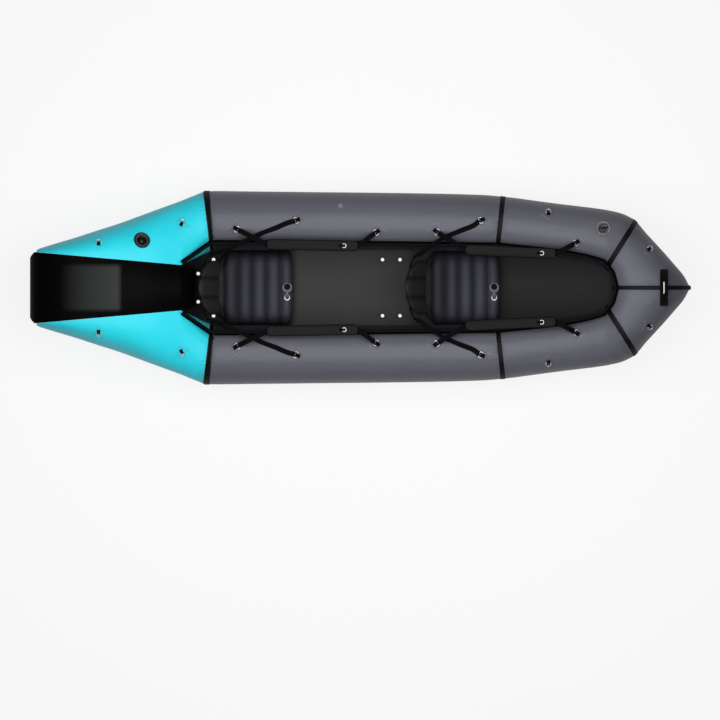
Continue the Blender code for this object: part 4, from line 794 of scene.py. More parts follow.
def finish_tree(tree, geometry, material):
    """Ends a tree in real geometry with its material."""
    real = new_node(tree, "GeometryNodeRealizeInstances", {"Geometry": geometry})
    painted = new_node(tree, "GeometryNodeSetMaterial", {"Geometry": real, "Material": material})
    new_node(tree, "NodeGroupOutput", {0: painted})
    return tree


def stitch_tree():
    """Threads laid end to end along a line, each one sunk a little at both ends."""
    sizes = (("Spacing", "Float", 5 * MM), ("Thread Length", "Float", 3.6 * MM), ("Thread Radius", "Float", 0.5 * MM))
    tree, given = node_tree("raft_stitches", (*sizes, ("Thread Material", "Material", None)))
    half = new_node(tree, "ShaderNodeMath", {0: given["Thread Length"], 1: 0.5}, operation="MULTIPLY")
    thin = given["Thread Radius"]
    size = new_node(tree, "ShaderNodeCombineXYZ", {"X": half, "Y": thin, "Z": thin})
    tangent = new_node(tree, "GeometryNodeInputTangent")
    threads = balls(tree, even_curve(tree, given, "Spacing"), tangent, size, 6, 4)
    return finish_tree(tree, threads, given["Thread Material"])


def sweep_tree():
    """A round section drawn along a line: wire, piping or a rolled edge."""
    sizes = (("Radius", "Float", 2 * MM), ("Sides", "Int", 10), ("Step", "Float", 3 * MM))
    tree, given = node_tree("raft_sweep", (*sizes, ("Sweep Material", "Material", None)))
    section = {"Resolution": given["Sides"], "Radius": given["Radius"]}
    circle = new_node(tree, "GeometryNodeCurvePrimitiveCircle", section)
    inputs = {"Curve": even_curve(tree, given, "Step"), "Profile Curve": circle, "Fill Caps": True}
    drawn = new_node(tree, "GeometryNodeCurveToMesh", inputs)
    soft = new_node(tree, "GeometryNodeSetShadeSmooth", {"Geometry": drawn})
    return finish_tree(tree, soft, given["Sweep Material"])


def round_tree():
    """One rib repeated round an axis, such as the grip of a valve's cap."""
    size = ("Rib Size", "Vector", (3 * MM, 2 * MM, 4 * MM))
    sizes = (("Count", "Int", 16), ("Circle Radius", "Float", 30 * MM), size)
    tree, given = node_tree("raft_round_ribs", (*sizes, ("Rib Material", "Material", None)))
    circle = new_node(tree, "GeometryNodeMeshCircle", {"Vertices": given["Count"], "Radius": given["Circle Radius"]})
    ribs = balls(tree, circle, new_node(tree, "GeometryNodeInputPosition"), given["Rib Size"], 8, 6)
    return finish_tree(tree, ribs, given["Rib Material"])


TREES = {}


def grown_by_tree(name, obj, kind, values):
    """Runs one of the trees on an object and keeps the result as a plain mesh."""
    if kind not in TREES:
        TREES[kind] = {"stitches": stitch_tree, "sweep": sweep_tree, "ribs": round_tree}[kind]()
    modifier = obj.modifiers.new(kind, "NODES")
    modifier.node_group = TREES[kind]
    for item in TREES[kind].interface.items_tree:
        if item.in_out == "INPUT" and item.name in values:
            modifier[item.identifier] = values[item.name]
    graph = bpy.context.evaluated_depsgraph_get()
    mesh = bpy.data.meshes.new_from_object(obj.evaluated_get(graph), depsgraph=graph)
    bpy.data.objects.remove(obj)
    mesh.shade_smooth()
    return placed(name, mesh)


def lines_object(lines, closed=False):
    points, edges = [], []
    for line in lines:
        first, last = len(points), len(points) + len(line) - 1
        points += [tuple(p) for p in line]
        edges += [(i, i + 1) for i in range(first, last)]
        if closed:
            edges.append((last, first))
    mesh = bpy.data.meshes.new("lines")
    mesh.from_pydata(points, edges, [])
    return placed("lines", mesh)


def stitches(name, lines, spacing=5 * MM, radius=0.55 * MM):
    values = {"Spacing": spacing, "Thread Length": spacing * 0.72, "Thread Radius": radius}
    values["Thread Material"] = MATERIALS["thread"]
    return grown_by_tree(name, lines_object(lines), "stitches", values)


def sweep(name, lines, radius, material, closed=True, sides=10, step=3 * MM):
    values = {"Radius": radius, "Sides": sides, "Step": step, "Sweep Material": MATERIALS[material]}
    made = grown_by_tree(name, lines_object(lines, closed), "sweep", values)
    face_out(made.data)
    return made


def ribs_round(name, matrix, count, radius, size, material):
    values = {"Count": count, "Circle Radius": radius, "Rib Size": size, "Rib Material": MATERIALS[material]}
    made = grown_by_tree(name, lines_object([[Vector(), Vector((MM, 0, 0))]]), "ribs", values)
    made.data.transform(matrix)
    return made


# Hull surface


def power(value, exponent):
    return math.copysign(abs(value) ** exponent, value)


def spoke(radius, share):
    """A point on a level circle round the origin, at a share of a turn."""
    return Vector((radius * math.cos(math.tau * share), radius * math.sin(math.tau * share), 0))


def table_value(table, place, column):
    return float(np.interp(place, [row[0] for row in table], [row[column] for row in table]))


def neighbours(rows, i):
    """The row before i, row i and the two after it, with the end rows repeated."""
    return [rows[min(max(i + k, 0), len(rows) - 1)] for k in (-1, 0, 1, 2)]


def between(rows, t):
    """A point on the smooth curve from the second of four rows to the third."""
    a, b, c, d = rows
    return (2 * b + (c - a) * t + (2 * a - 5 * b + 4 * c - d) * t**2 + (3 * b - a - 3 * c + d) * t**3) / 2


def both_sides(half):
    """A profile from one edge to its middle, carried on to its other edge."""
    return half + tuple((-side, height) for side, height in half[-2::-1])


def smooth_value(table, place, column):
    """Value of a table's column on a smooth curve through its rows."""
    low = min(max(int(np.searchsorted([row[0] for row in table], place)) - 1, 0), len(table) - 2)
    before, start, end, after = neighbours(table, low)
    span = end[0] - start[0]
    t = min(max((place - start[0]) / span, 0), 1)
    slopes = [(b[column] - a[column]) / (b[0] - a[0]) * span for a, b in ((before, end), (start, after))]
    return (
        start[column] * (2 * t**3 - 3 * t**2 + 1) + slopes[0] * (t**3 - 2 * t**2 + t)
        + end[column] * (3 * t**2 - 2 * t**3) + slopes[1] * (t**3 - t**2)
    )


def tube_station(place):
    low = min(int(place), len(TUBE_STATION_SHARES) - 2)
    return between([np.array(row) for row in neighbours(TUBE_STATION_SHARES, low)], place - low)


def tube_frame(place):
    outer_x, outer_y, inner_x, width, height, rise, lean = tube_station(place)
    seam = SEAM_GAP / 2
    if place >= TAPE_EDGE_STATION:
        seam += CENTRE_TAPE_WIDTH / 2 * (CENTRE_SEAM - place)
        lean = 0.0
    low_y = max(outer_y * HALF_BEAM - width * TUBE_WIDTH, seam)
    outer = Vector((outer_x * (HALF_LENGTH - NOSE_TAPE), max(outer_y * HALF_BEAM, seam), 0))
    inner = Vector((inner_x * HALF_LENGTH, low_y, 0))
    half = (outer - inner) / 2
    bottom = HULL_BASE + max(rise, 0) * BOW_RISE
    tilt = math.radians(lean)
    tall = height * TUBE_HEIGHT
    centre = (outer + inner) / 2 + Vector((0, 0, bottom + tall / 2))
    across = half.normalized()
    ahead = Vector((across.y, -across.x, 0))
    up = UP * math.cos(tilt) - ahead * math.sin(tilt)
    return centre, half.length, tall / 2 / math.cos(tilt), across, up


def tube_point(section, k, grow=0.0, count=FINE_RING):
    centre, wide, tall, across, up = section
    angle = math.tau * k / count
    shape = 2 / TUBE_SQUARENESS
    side = across * (wide + grow) * power(math.cos(angle), shape)
    return centre + side + up * (tall + grow) * power(math.sin(angle), shape)


def tube_ring(place, grow=0.0, count=FINE_RING):
    section = tube_frame(place)
    return [tube_point(section, k, grow, count) for k in range(count)]


BOW_SHIFTS = {}


def bow_shifts(offset):
    """How far each point of the bow joint's ring moves along the tube, in stations, to reach an upright plane.

    The plane goes through the joint's middle, or stands ahead of it by the offset.
    """
    if offset not in BOW_SHIFTS:
        centre, _, _, across, _ = tube_frame(BOW_JOINT)
        ahead = Vector((across.y, -across.x, 0))
        BOW_SHIFTS[offset] = []
        for k in range(FINE_RING):
            low, high = BOW_JOINT - 3.0, BOW_JOINT + 3.0
            for _ in range(20):
                middle = (low + high) / 2
                if (tube_point(tube_frame(middle), k) - centre).dot(ahead) > offset:
                    high = middle
                else:
                    low = middle
            BOW_SHIFTS[offset].append((low + high) / 2 - BOW_JOINT)
    return BOW_SHIFTS[offset]


def joint_ring(place, grow=0.0, offset=0.0):
    """A ring of the tube that turns upright as it nears the bow joint, or one at an offset ahead of that joint."""
    away = min(abs(place - BOW_JOINT) / BOW_JOINT_REACH, 1)
    share = 1 - away * away * (3 - 2 * away)
    return [tube_point(tube_frame(place + shift * share), k, grow) for k, shift in enumerate(bow_shifts(offset))]


def station_step(place, distance):
    small = 0.05 if distance > 0 else -0.05
    run = (tube_frame(place + small)[0] - tube_frame(place)[0]).length
    return distance / run * abs(small)


def stern_values(place):
    half = smooth_value(STERN_STATION_SHARES, place, 1) * HALF_BEAM
    room = STERN_HEIGHT - HULL_BASE
    low, seam, crown = (smooth_value(STERN_STATION_SHARES, place, c) for c in (2, 3, 4))
    return half, HULL_BASE + max(low, 0) * room, seam * STERN_HEIGHT, crown * STERN_HEIGHT


def seam_half(place):
    return table_value(DECK_SEAM_SHARES, place, 1) * HALF_BEAM


def side_body_ring(place, grow=0.0):
    half, bottom, top, _ = stern_values(place)
    inner = seam_half(place) + SEAM_GAP / 2 - grow
    wide = half + grow - inner
    top += grow
    bottom -= grow
    shape = 2 / STERN_SQUARENESS
    ring = []
    for k in range(FINE_RING):
        turn = RING_POINTS * k / FINE_RING
        turn = turn if turn <= RING_POINTS / 2 else turn - RING_POINTS
        if abs(turn) <= CREASE_POINT:
            angle = math.pi / 2 * turn / CREASE_POINT
            y = inner + wide * power(math.cos(angle), shape)
            z = (top + bottom) / 2 + (top - bottom) / 2 * power(math.sin(angle), shape)
        else:
            share = (turn % RING_POINTS - CREASE_POINT) / (RING_POINTS - 2 * CREASE_POINT)
            y = inner
            z = top - (top - bottom) * share
        ring.append(Vector((place * HALF_LENGTH, y, z)))
    return ring


def shoulder_ring(share, grow=0.0):
    return [a.lerp(b, share) for a, b in zip(side_body_ring(SHOULDER_SHARE, grow), tube_ring(STERN_JOINT, grow))]


def ring_centres(rings):
    return [sum(ring, Vector()) / len(ring) for ring in rings]


def shoulder_length():
    start, end = ring_centres([side_body_ring(SHOULDER_SHARE), tube_ring(STERN_JOINT)])
    return (end - start).length


def puckered(rings, ends, seed):
    """Draws the cloth in at its end seams, in folds that run along the chamber."""
    depth = settings().pucker_depth
    source = np.random.default_rng(seed)
    angles = np.arange(FINE_RING) * math.tau / FINE_RING

    def waves(least, counts):
        return sum(source.uniform(least, 1.0) * np.sin(angles * n + source.uniform(0, math.tau)) for n in counts)

    folds = waves(0.4, (9, 14, 17, 23, 31))
    swells = waves(0.5, (3, 5))
    centres = ring_centres(rings)
    run = distances(centres)
    made = []
    for ring, centre, there in zip(rings, centres, run):
        aways = [away for end, away in zip(ends, (there, run[-1] - there)) if end]
        near = sum(math.exp(-((away / PUCKER_REACH) ** 2)) for away in aways)
        calm = SKIN_SWELL * math.sin(there * 19) * (1 - min(near, 1))
        shifts = -depth * near * (0.55 + 0.16 * folds) + calm * swells
        made.append([point + (point - centre).normalized() * shift for point, shift in zip(ring, shifts)])
    return made


def seam_glow(rings, ends, reach=30 * MM):
    """How near each ring is to a seam at the end of its chamber, from 0 to 1."""
    run = distances(ring_centres(rings))
    glow = []
    for there in run:
        aways = [away for end, away in zip(ends, (there, run[-1] - there)) if end]
        glow.append(math.exp(-((min(aways) / reach) ** 2)))
    return glow


def coaming_side(x):
    """How far out the coaming stands at a place along the boat."""
    return table_value(COAMING_ROUTE_SHARES, x / HALF_LENGTH, 1) * HALF_BEAM


def coaming_top(x):
    return table_value(COAMING_ROUTE_SHARES, x / HALF_LENGTH, 2) * COAMING_TOP


def level_direction(heading):
    return Vector((math.cos(math.radians(heading)), math.sin(math.radians(heading)), 0))


class Surface:
    """Finds places on finished skins, for setting pieces on them."""

    def __init__(self):
        self.trees = []

    def add(self, obj):
        shape = bmesh.new()
        shape.from_mesh(obj.data)
        self.trees.append(BVHTree.FromBMesh(shape))
        shape.free()

    def drop(self, x, y):
        hits = [tree.ray_cast(Vector((x, y, 1)), -UP) for tree in self.trees]
        found = [hit for hit in hits if hit[0] is not None]
        return max(found, key=lambda hit: hit[0].z)[:2] if found else (None, UP.copy())

    def nearest(self, point):
        return min((tree.find_nearest(point) for tree in self.trees), key=lambda hit: hit[3])[:2]

    def frame(self, shares, heading=None):
        """Point, normal, forward and sideways directions. Forward is down the slope if there is no heading."""
        point, normal = self.drop(shares[0] * HALF_LENGTH, shares[1] * HALF_BEAM)
        ahead = -UP if heading is None else level_direction(heading)
        forward = (ahead - normal * ahead.dot(normal)).normalized()
        return point, normal, forward, normal.cross(forward)


HULL_SURFACE = Surface()
COAMING_SURFACE = Surface()


def local_to_world(place, lift=0.0):
    point, normal, forward, side = place
    matrix = Matrix((forward, side, normal)).transposed().to_4x4()
    matrix.translation = point + normal * lift
    return matrix


# Chambers


def tube_rings(start, end, step):
    places = []
    place = start + station_step(start, SEAM_GAP / 2)
    finish = end if end == CENTRE_SEAM else end + station_step(end, -SEAM_GAP / 2)
    while place < finish:
        places.append(place)
        place += max(station_step(min(place, CENTRE_SEAM - 1.1), step), 0.004)
    places.append(finish)
    return [joint_ring(place) if abs(place - BOW_JOINT) < BOW_JOINT_REACH else tube_ring(place) for place in places]


def inner_slot(centre):
    """Second material for cloth inside the cockpit."""
    x, y, z = centre
    inside = COAMING_ROUTE_SHARES[0][0] * HALF_LENGTH < x < COAMING_ROUTE_SHARES[-1][0] * HALF_LENGTH + 4 * MM
    return 1 if inside and abs(y) < coaming_side(x) and z > 30 * MM else 0


def make_chambers():
    step = settings().skin_step
    for base, start, end, seed in (
        ("side_tube", STERN_JOINT, FORE_JOINT, 11),
        ("fore_tube", FORE_JOINT, BOW_JOINT, 12),
        ("bow_chamber", BOW_JOINT, CENTRE_SEAM, 13),
    ):
        rings = tube_rings(start, end, step)
        glow = seam_glow(rings, (True, True))
        rings = puckered(rings, (True, end != CENTRE_SEAM), seed)
        obj = skin(base + "_skin", rings, ("grey", "inner"), inner_slot, seam=glow)
        HULL_SURFACE.add(obj)
        left, _ = dress_both(obj, base + "_skin", replaces=(base,))
        if base == "fore_tube":
            drill_valve(left, "fore_valve")

    rings = [side_body_ring(place) for place in np.arange(SIDE_BODY_START_SHARE, SHOULDER_SHARE, step / HALF_LENGTH)]
    run = shoulder_length()
    rings += [shoulder_ring(share) for share in np.arange(0.0, 1 - SEAM_GAP / run, step / run)]
    glow = seam_glow(rings, (False, True))
    obj = skin("stern_chamber_skin", puckered(rings, (False, True), 14), ("turquoise",), seam=glow)
    HULL_SURFACE.add(obj)
    left, _ = dress_both(obj, "stern_chamber_skin", replaces=("stern_chamber",))
    drill_valve(left, "stern_valve")


def deck_ring(place, half, bottom, seam, crown):
    """Crowned top from left to right, right side, flat bottom and left side."""
    points = [(half * s, seam + crown * (1 - s**2)) for s in np.linspace(1, -1, 33)]
    points += [(-half, z) for z in np.linspace(seam, bottom, 12)[1:-1]]
    points += [(half * s, bottom) for s in np.linspace(-1, 1, 17)]
    points += [(half, z) for z in np.linspace(bottom, seam, 12)[1:-1]]
    return [Vector((place * HALF_LENGTH, y, z)) for y, z in points]


def make_deck():
    step = settings().skin_step / HALF_LENGTH
    rings = []
    first = [row[0] for row in STERN_STATION_SHARES[:5]]
    fine = sorted(first + [(a + b) / 2 for a, b in zip(first, first[1:])])
    for place in [*fine, *np.arange(first[-1] + step, SHOULDER_SHARE, step), SHOULDER_SHARE]:
        half, bottom, seam, crown = stern_values(place)
        rings.append(deck_ring(place, min(half, seam_half(place) - SEAM_GAP / 2), bottom, seam, crown))
    full = seam_half(SHOULDER_SHARE) - SEAM_GAP / 2
    table = ((SHOULDER_SHARE, 1.0, 0.0, 1.0), *DECK_NOSE_SHARES)
    for place in np.linspace(SHOULDER_SHARE, DECK_NOSE_SHARES[-1][0], 12)[1:]:
        width, low, high = (table_value(table, place, c) for c in (1, 2, 3))
        rings.append(deck_ring(place, full * width, HULL_BASE + low * seam, seam * high, crown * high))
    obj = skin("stern_deck_skin", rings, ("deck",), seam=seam_glow(rings, (True, True), 20 * MM))
    dress(obj, replaces=("stern_deck",))
    HULL_SURFACE.add(obj)


def make_tapes():
    """Bands over the three joints on each side and over the bow's centre seam."""
    half = settings().tape_width / 2
    profile = both_sides(((-1.0, -0.6), (-0.99, 0.35), (-0.93, 0.75), (-0.6, 1.0), (0.0, 1.08)))
    for base, joint in (("stern_tape", STERN_JOINT), ("fore_tape", FORE_JOINT), ("bow_tape", BOW_JOINT)):
        rings = []
        for share, lift in (*profile, (0.0, -0.6)):
            offset, grow = share * half, lift * TAPE_FILM
            if joint == STERN_JOINT and offset < 0:
                rings.append(shoulder_ring(1 + offset / shoulder_length(), grow))
            elif joint == BOW_JOINT:
                rings.append(joint_ring(joint, grow, offset))
            else:
                rings.append(tube_ring(joint + station_step(joint, offset), grow))
        obj = skin(base, rings, ("tape", "tape_edge"), wrap_rows=True, sharp=0)
        # The tapes' edge rows carry the painted highlight.
        slots = [1 if i // FINE_RING in TAPE_EDGE_ROWS else 0 for i in range(len(obj.data.polygons))]
        obj.data.polygons.foreach_set("material_index", slots)
        dress_both(obj, base)

    points = [k % FINE_RING for k in range(*CENTRE_TAPE_POINTS, -1)]
    rings = []
    for share, lift in (*both_sides(((1.0, -0.5), (0.99, 0.5), (0.9, 0.9), (0.5, 1.1), (0.0, 1.15))), (0.0, -0.5)):
        ring = tube_ring(CENTRE_SEAM - abs(share), lift * TAPE_FILM)
        rings.append([ring[k] * Vector((1, np.sign(share), 1)) for k in points])
    obj = skin("bow_centre_tape_film", list(zip(*rings)), ("tape",))
    dress(obj, replaces=("bow_centre_tape",))


# Coaming


def smooth_route(points, steps):
    """A smooth curve through points, with the given number of steps between each two."""
    found = [between(neighbours(points, i), step / steps) for i in range(len(points) - 1) for step in range(steps)]
    return found + [points[-1]]


def resampled(points, step):
    """Points at even steps along a line."""
    run = distances(points)
    places = np.linspace(0, run[-1], max(int(run[-1] / step), 2) + 1)
    return [Vector(row) for row in zip(*(np.interp(places, run, [p[c] for p in points]) for c in range(3)))]


def coaming_line():
    near = [Vector((x * HALF_LENGTH, y * HALF_BEAM, z * COAMING_TOP)) for x, y, z in COAMING_ROUTE_SHARES]
    return resampled(near + [point * MIRROR for point in near[-2::-1]], COAMING_STEP)


def line_frames(line):
    """Each point of a level-ish line with its outward direction."""
    found = []
    for i, point in enumerate(line):
        along = line[min(i + 2, len(line) - 1)] - line[max(i - 2, 0)]
        along.z = 0
        along.normalize()
        found.append((point, Vector((-along.y, along.x, 0))))
    return found


def coaming_foot(line):
    """The coaming's lower edge turned out flat on the tubes, where it is welded."""
    rings = []
    for point, out in line_frames(line):
        upper, lower = [], []
        for reach in (COAMING_WALL / 2 - MM, 6 * MM, 11 * MM, COAMING_FOOT_REACH - MM, COAMING_FOOT_REACH):
            place = point + out * reach
            turn = MIRROR if place.y < 0 else Vector((1, 1, 1))
            found, normal = HULL_SURFACE.drop(place.x, max(abs(place.y), SEAM_GAP))
            if found is None:
                found, normal = HULL_SURFACE.nearest(place * turn)
            lift = 0.3 * MM if reach == COAMING_FOOT_REACH else COAMING_FOOT_LIFT
            upper.append((found + normal * lift) * turn)
            lower.append((found - normal * 0.6 * MM) * turn)
        rings.append(upper + lower[::-1])
    return skin("coaming_foot", rings, ("coaming",), sharp=0)


def make_coaming():
    line = coaming_line()
    wall, rise = COAMING_WALL / 2, COAMING_HEM_DEPTH * 0.52
    rings, outer, inner = [], [], []
    for i, (point, out) in enumerate(line_frames(line)):
        foot, _ = HULL_SURFACE.drop(point.x, max(abs(point.y), SEAM_GAP))
        low = (foot.z if foot else point.z - 40 * MM) - COAMING_SINK
        ripple = 0.8 * MM * math.sin(i * 0.9) + 0.6 * MM * math.sin(i * 0.37 + 1)
        centre = Vector((point.x, point.y, point.z - rise))
        ring = []
        for angle in np.radians(np.linspace(-68, 248, 15)):
            ring.append(centre + out * (COAMING_HEM / 2 * math.cos(angle)) + UP * (rise * math.sin(angle)))
        middle, base = (Vector((point.x, point.y, z)) for z in (low + (centre.z - low) * 0.5, low))
        ring += [middle + out * (ripple - wall), base - out * wall, base + out * wall, middle + out * (ripple + wall)]
        rings.append(ring)
        outer.append(centre + out * (wall + MM + ripple * 0.4) - UP * (COAMING_HEM_DEPTH * 0.75))
        inner.append(centre - out * (wall + MM - ripple * 0.4) - UP * (COAMING_HEM_DEPTH * 0.75))
    obj = skin("coaming_band", rings, ("coaming",), sharp=0)
    COAMING_SURFACE.add(obj)
    dress(obj, replaces=("coaming",))
    dress(coaming_foot(line))
    dress(stitches("coaming_stitches", [outer, inner]))


# Floor


def hull_underside():
    """The lowest line of the tubes as seen from the side, as (x, z) pairs."""
    places = np.linspace(STERN_JOINT, CENTRE_SEAM, 120)
    points = [p for place in places for p in tube_ring(float(place), 0.0, RING_POINTS)]
    under = []
    for point in sorted((p.x, p.z) for p in points):
        while len(under) > 1:
            (ax, az), (bx, bz) = under[-2:]
            if (bx - ax) * (point[1] - az) - (bz - az) * (point[0] - ax) > 0:
                break
            under.pop()
        under.append(point)
    return under


def make_floor():
    """Bottom sheet with bound drain holes."""
    xs, zs = zip(*hull_underside())
    rows = []
    for share in np.linspace(SHEET_OUTLINE_SHARES[0][0], SHEET_OUTLINE_SHARES[-1][0], 110):
        x = share * HALF_LENGTH
        half = table_value(SHEET_OUTLINE_SHARES, share, 1) * HALF_BEAM
        top = FLOOR_THICKNESS if x < 0 else max(float(np.interp(x, xs, zs)) - HULL_BASE, FLOOR_THICKNESS)
        across = np.linspace(1, -1, 41)
        rows.append([Vector((x, half * s, top)) for s in across])
        rows[-1] += [Vector((x, half * s, top - FLOOR_THICKNESS)) for s in across[::-1]]
    obj = skin("floor_cloth", rows, ("floor",), sharp=30)
    drains = [Vector((x * HALF_LENGTH, y * HALF_BEAM * side, 0)) for x, y in DRAIN_SHARES for side in (1, -1)]
    shape = bmesh.new()
    size = {"radius1": DRAIN_RADIUS, "radius2": DRAIN_RADIUS, "depth": 20 * MM}
    for drain in drains:
        bmesh.ops.create_cone(shape, cap_ends=True, segments=32, matrix=Matrix.Translation(drain), **size)
    cut(obj, link("drills", mesh_of(shape, "drills"), ()))
    dress(obj, replaces=("floor_sheet",))
    rims = [[drain + UP * FLOOR_THICKNESS + spoke(GROMMET_RADIUS, k / 24) for k in range(24)] for drain in drains]
    dress(sweep("drain_grommets", rims, 2.0 * MM, "plastic", step=2 * MM))


# Seats and backrests


def swollen(obj, cap, voxel=5 * MM):
    """Fills a closed cloth form with air for a moment, and keeps each point within a short way of its start."""
    remesh = obj.modifiers.new("even", "REMESH")
    remesh.mode = "VOXEL"
    remesh.voxel_size = voxel
    baked(obj)
    start = np.empty(len(obj.data.vertices) * 3, np.float32)
    obj.data.vertices.foreach_get("co", start)
    cloth = obj.modifiers.new("air", "CLOTH")
    for key, value in CUSHION_CLOTH.items():
        setattr(cloth.settings, key, value)
    cloth.settings.effector_weights.gravity = 0
    cloth.point_cache.frame_start = 1
    cloth.point_cache.frame_end = CUSHION_FRAMES
    scene = bpy.context.scene
    for number in range(1, CUSHION_FRAMES + 1):
        scene.frame_set(number)
    blown = obj.evaluated_get(bpy.context.evaluated_depsgraph_get())
    end = np.empty(len(start), np.float32)
    blown.to_mesh().vertices.foreach_get("co", end)
    blown.to_mesh_clear()
    obj.modifiers.clear()
    scene.frame_set(1)
    shift = (end - start).reshape(-1, 3)
    size = np.linalg.norm(shift, axis=1, keepdims=True)
    shift *= np.minimum(1, cap / np.maximum(size, 1e-9))
    obj.data.vertices.foreach_set("co", (start.reshape(-1, 3) + shift).ravel())
    obj.data.update()
    return obj


def remapped(obj, origin, material, seam):
    """Gives a blown form, which has lost its cloth map, one from above, with its seam values and its material."""
    add_cloth_map(obj, [(v.co.x - origin.x, v.co.y - origin.y) for v in obj.data.vertices])
    add_value(obj, "seam", [seam(v.co) for v in obj.data.vertices])
    obj.data.shade_smooth()
    obj.data.materials.clear()
    obj.data.materials.append(MATERIALS[material])


def seat_half_width(x, front):
    full = SEAT_HALF_WIDTH
    back = front - SEAT_LENGTH
    if x < back + SEAT_BACK_ROUND:
        share = (back + SEAT_BACK_ROUND - x) / SEAT_BACK_ROUND
        full *= math.sqrt(max(1 - share**2, 0.02))
    if x > front - SEAT_CORNER:
        share = (x - front + SEAT_CORNER) / SEAT_CORNER
        full -= SEAT_CORNER * (1 - math.sqrt(max(1 - share**2, 0)))
    return full


def rib_wave(x, front):
    """Plus or minus 1 on the crests of a seat's ribs and 0 in the channels between them."""
    return math.cos(math.pi * (x - front - LAST_CREST) / SEAT_RIB_PITCH)


def seat_form(front, shrink):
    """Six air ribs side by side, drawn together by welds between them."""
    back = front - SEAT_LENGTH
    shape = 2 / 3.6
    rings = []
    for x in np.linspace(back + shrink, front - shrink, 96):
        swell = abs(rib_wave(x, front)) ** 0.55
        height = SEAT_HEIGHT - shrink - SEAT_CHANNEL_DEPTH * (1 - swell)
        reach = min((x - back) / (14 * MM), (front - x) / (26 * MM), 1)
        height *= 1 - 0.5 * (1 - reach) ** 2
        half = seat_half_width(x, front) - shrink - 5 * MM * (1 - swell)
        ring = []
        for k in range(64):
            angle = math.tau * k / 64
            rise = height * (0.58 if math.sin(angle) > 0 else 0.42) * power(math.sin(angle), shape)
            ring.append(Vector((x, half * power(math.cos(angle), shape), SEAT_BASE + height * 0.42 + rise)))
        rings.append(ring)
    return skin("seat_form", rings, ("seat",), sharp=0)


def widened(obj, half):
    """Blown cloth draws in at its sides, so the cushion is stretched across to its real half width."""
    widest = max(v.co.y for v in obj.data.vertices)
    obj.data.transform(Matrix.Diagonal((1, half / widest, 1, 1)))
    return obj


def seat_valve_matrix(name):
    return Matrix.Translation((SEAT_FRONT_SHARES[name] * HALF_LENGTH + LAST_CREST, 0, SEAT_TOP))


def dress_rear_and_front(rows, shift, body=None):
    """Dresses two copies of each piece. A row has the piece, its name and slot, and what it stands for and its fill;
    the slot and the fill are not used.
    """
    for name, offset in (("rear", Vector()), ("front", shift)):
        for source, base, slot, node, fill in rows:
            copy = placed(f"{base}_{name}", source.data.copy())
            copy.data.transform(Matrix.Translation(offset))
            dress(copy, f"{body}_{name}" if body else HULL, (f"{node}_{name}",) if node else ())
    for source, *_ in rows:
        bpy.data.objects.remove(source)


def make_seats():
    front = SEAT_FRONT_SHARES["rear"] * HALF_LENGTH
    form = widened(swollen(seat_form(front, 4 * MM), 7 * MM), SEAT_HALF_WIDTH + SEAT_SIDE_SWELL)
    for vertex in form.data.vertices:
        vertex.co.z = max(vertex.co.z, SEAT_BASE)
    # The seam values rise in the channels between the ribs, where the seat cloth carries painted shade.
    remapped(form, Vector((front, 0, 0)), "seat", lambda place: 1 - abs(rib_wave(place.x, front)) ** 0.4)
    drill = lathed("drill", ((0, -15), (24.3, -15), (24.3, 30), (0, 30)), "plastic", 40)
    drill.data.transform(seat_valve_matrix("rear"))
    cut(form, drill)
    form.data.materials.clear()
    form.data.materials.append(MATERIALS["seat"])
    surface = Surface()
    surface.add(form)
    welds = []
    for rib in range(1, SEAT_RIBS):
        x = front + LAST_CREST + SEAT_RIB_PITCH * (0.5 - rib)
        half = seat_half_width(x, front) - 16 * MM
        drops = [surface.drop(x, y) for y in np.linspace(-half, half, 40)]
        welds.append([point + normal * 0.2 * MM for point, normal in drops if point])
    welts = sweep("seat_welds", welds, 1.3 * MM, "weld", closed=False, sides=8, step=5 * MM)
    shift = Vector(((SEAT_FRONT_SHARES["front"] - SEAT_FRONT_SHARES["rear"]) * HALF_LENGTH, 0, 0))
    rows = ((form, "seat_cushion", "seat_fabric", "seat", 0.9), (welts, "seat_welds", "seat_fabric", None, None))
    dress_rear_and_front(rows, shift)


def joint_of(name):
    return next(joint for joint in frame["joints"] if joint["name"] == name + "_hinge")


def backrest_pivot(name):
    return Vector(joint_of(f"backrest_{name}")["pos_m"])


def backrest_directions():
    return (
        Vector((-math.sin(BACKREST_LEAN), 0, math.cos(BACKREST_LEAN))),
        Vector((math.cos(BACKREST_LEAN), 0, math.sin(BACKREST_LEAN))),
    )


def backrest_outline(share):
    """Half width and half thickness of the backrest at a share of its height."""
    above = max(share - BACKREST_SHOULDER_SHARE, 0) / (1 - BACKREST_SHOULDER_SHARE)
    swell = math.sqrt(1 - above**2)
    foot = min(share / BACKREST_FOOT_SHARE, 1)
    thick = BACKREST_THICKNESS / 2 * math.sqrt(1 - (1 - foot) ** 2 * BACKREST_FOOT_TAPER_SHARE)
    return BACKREST_WIDTH / 2 * swell, thick * math.sqrt(swell), foot


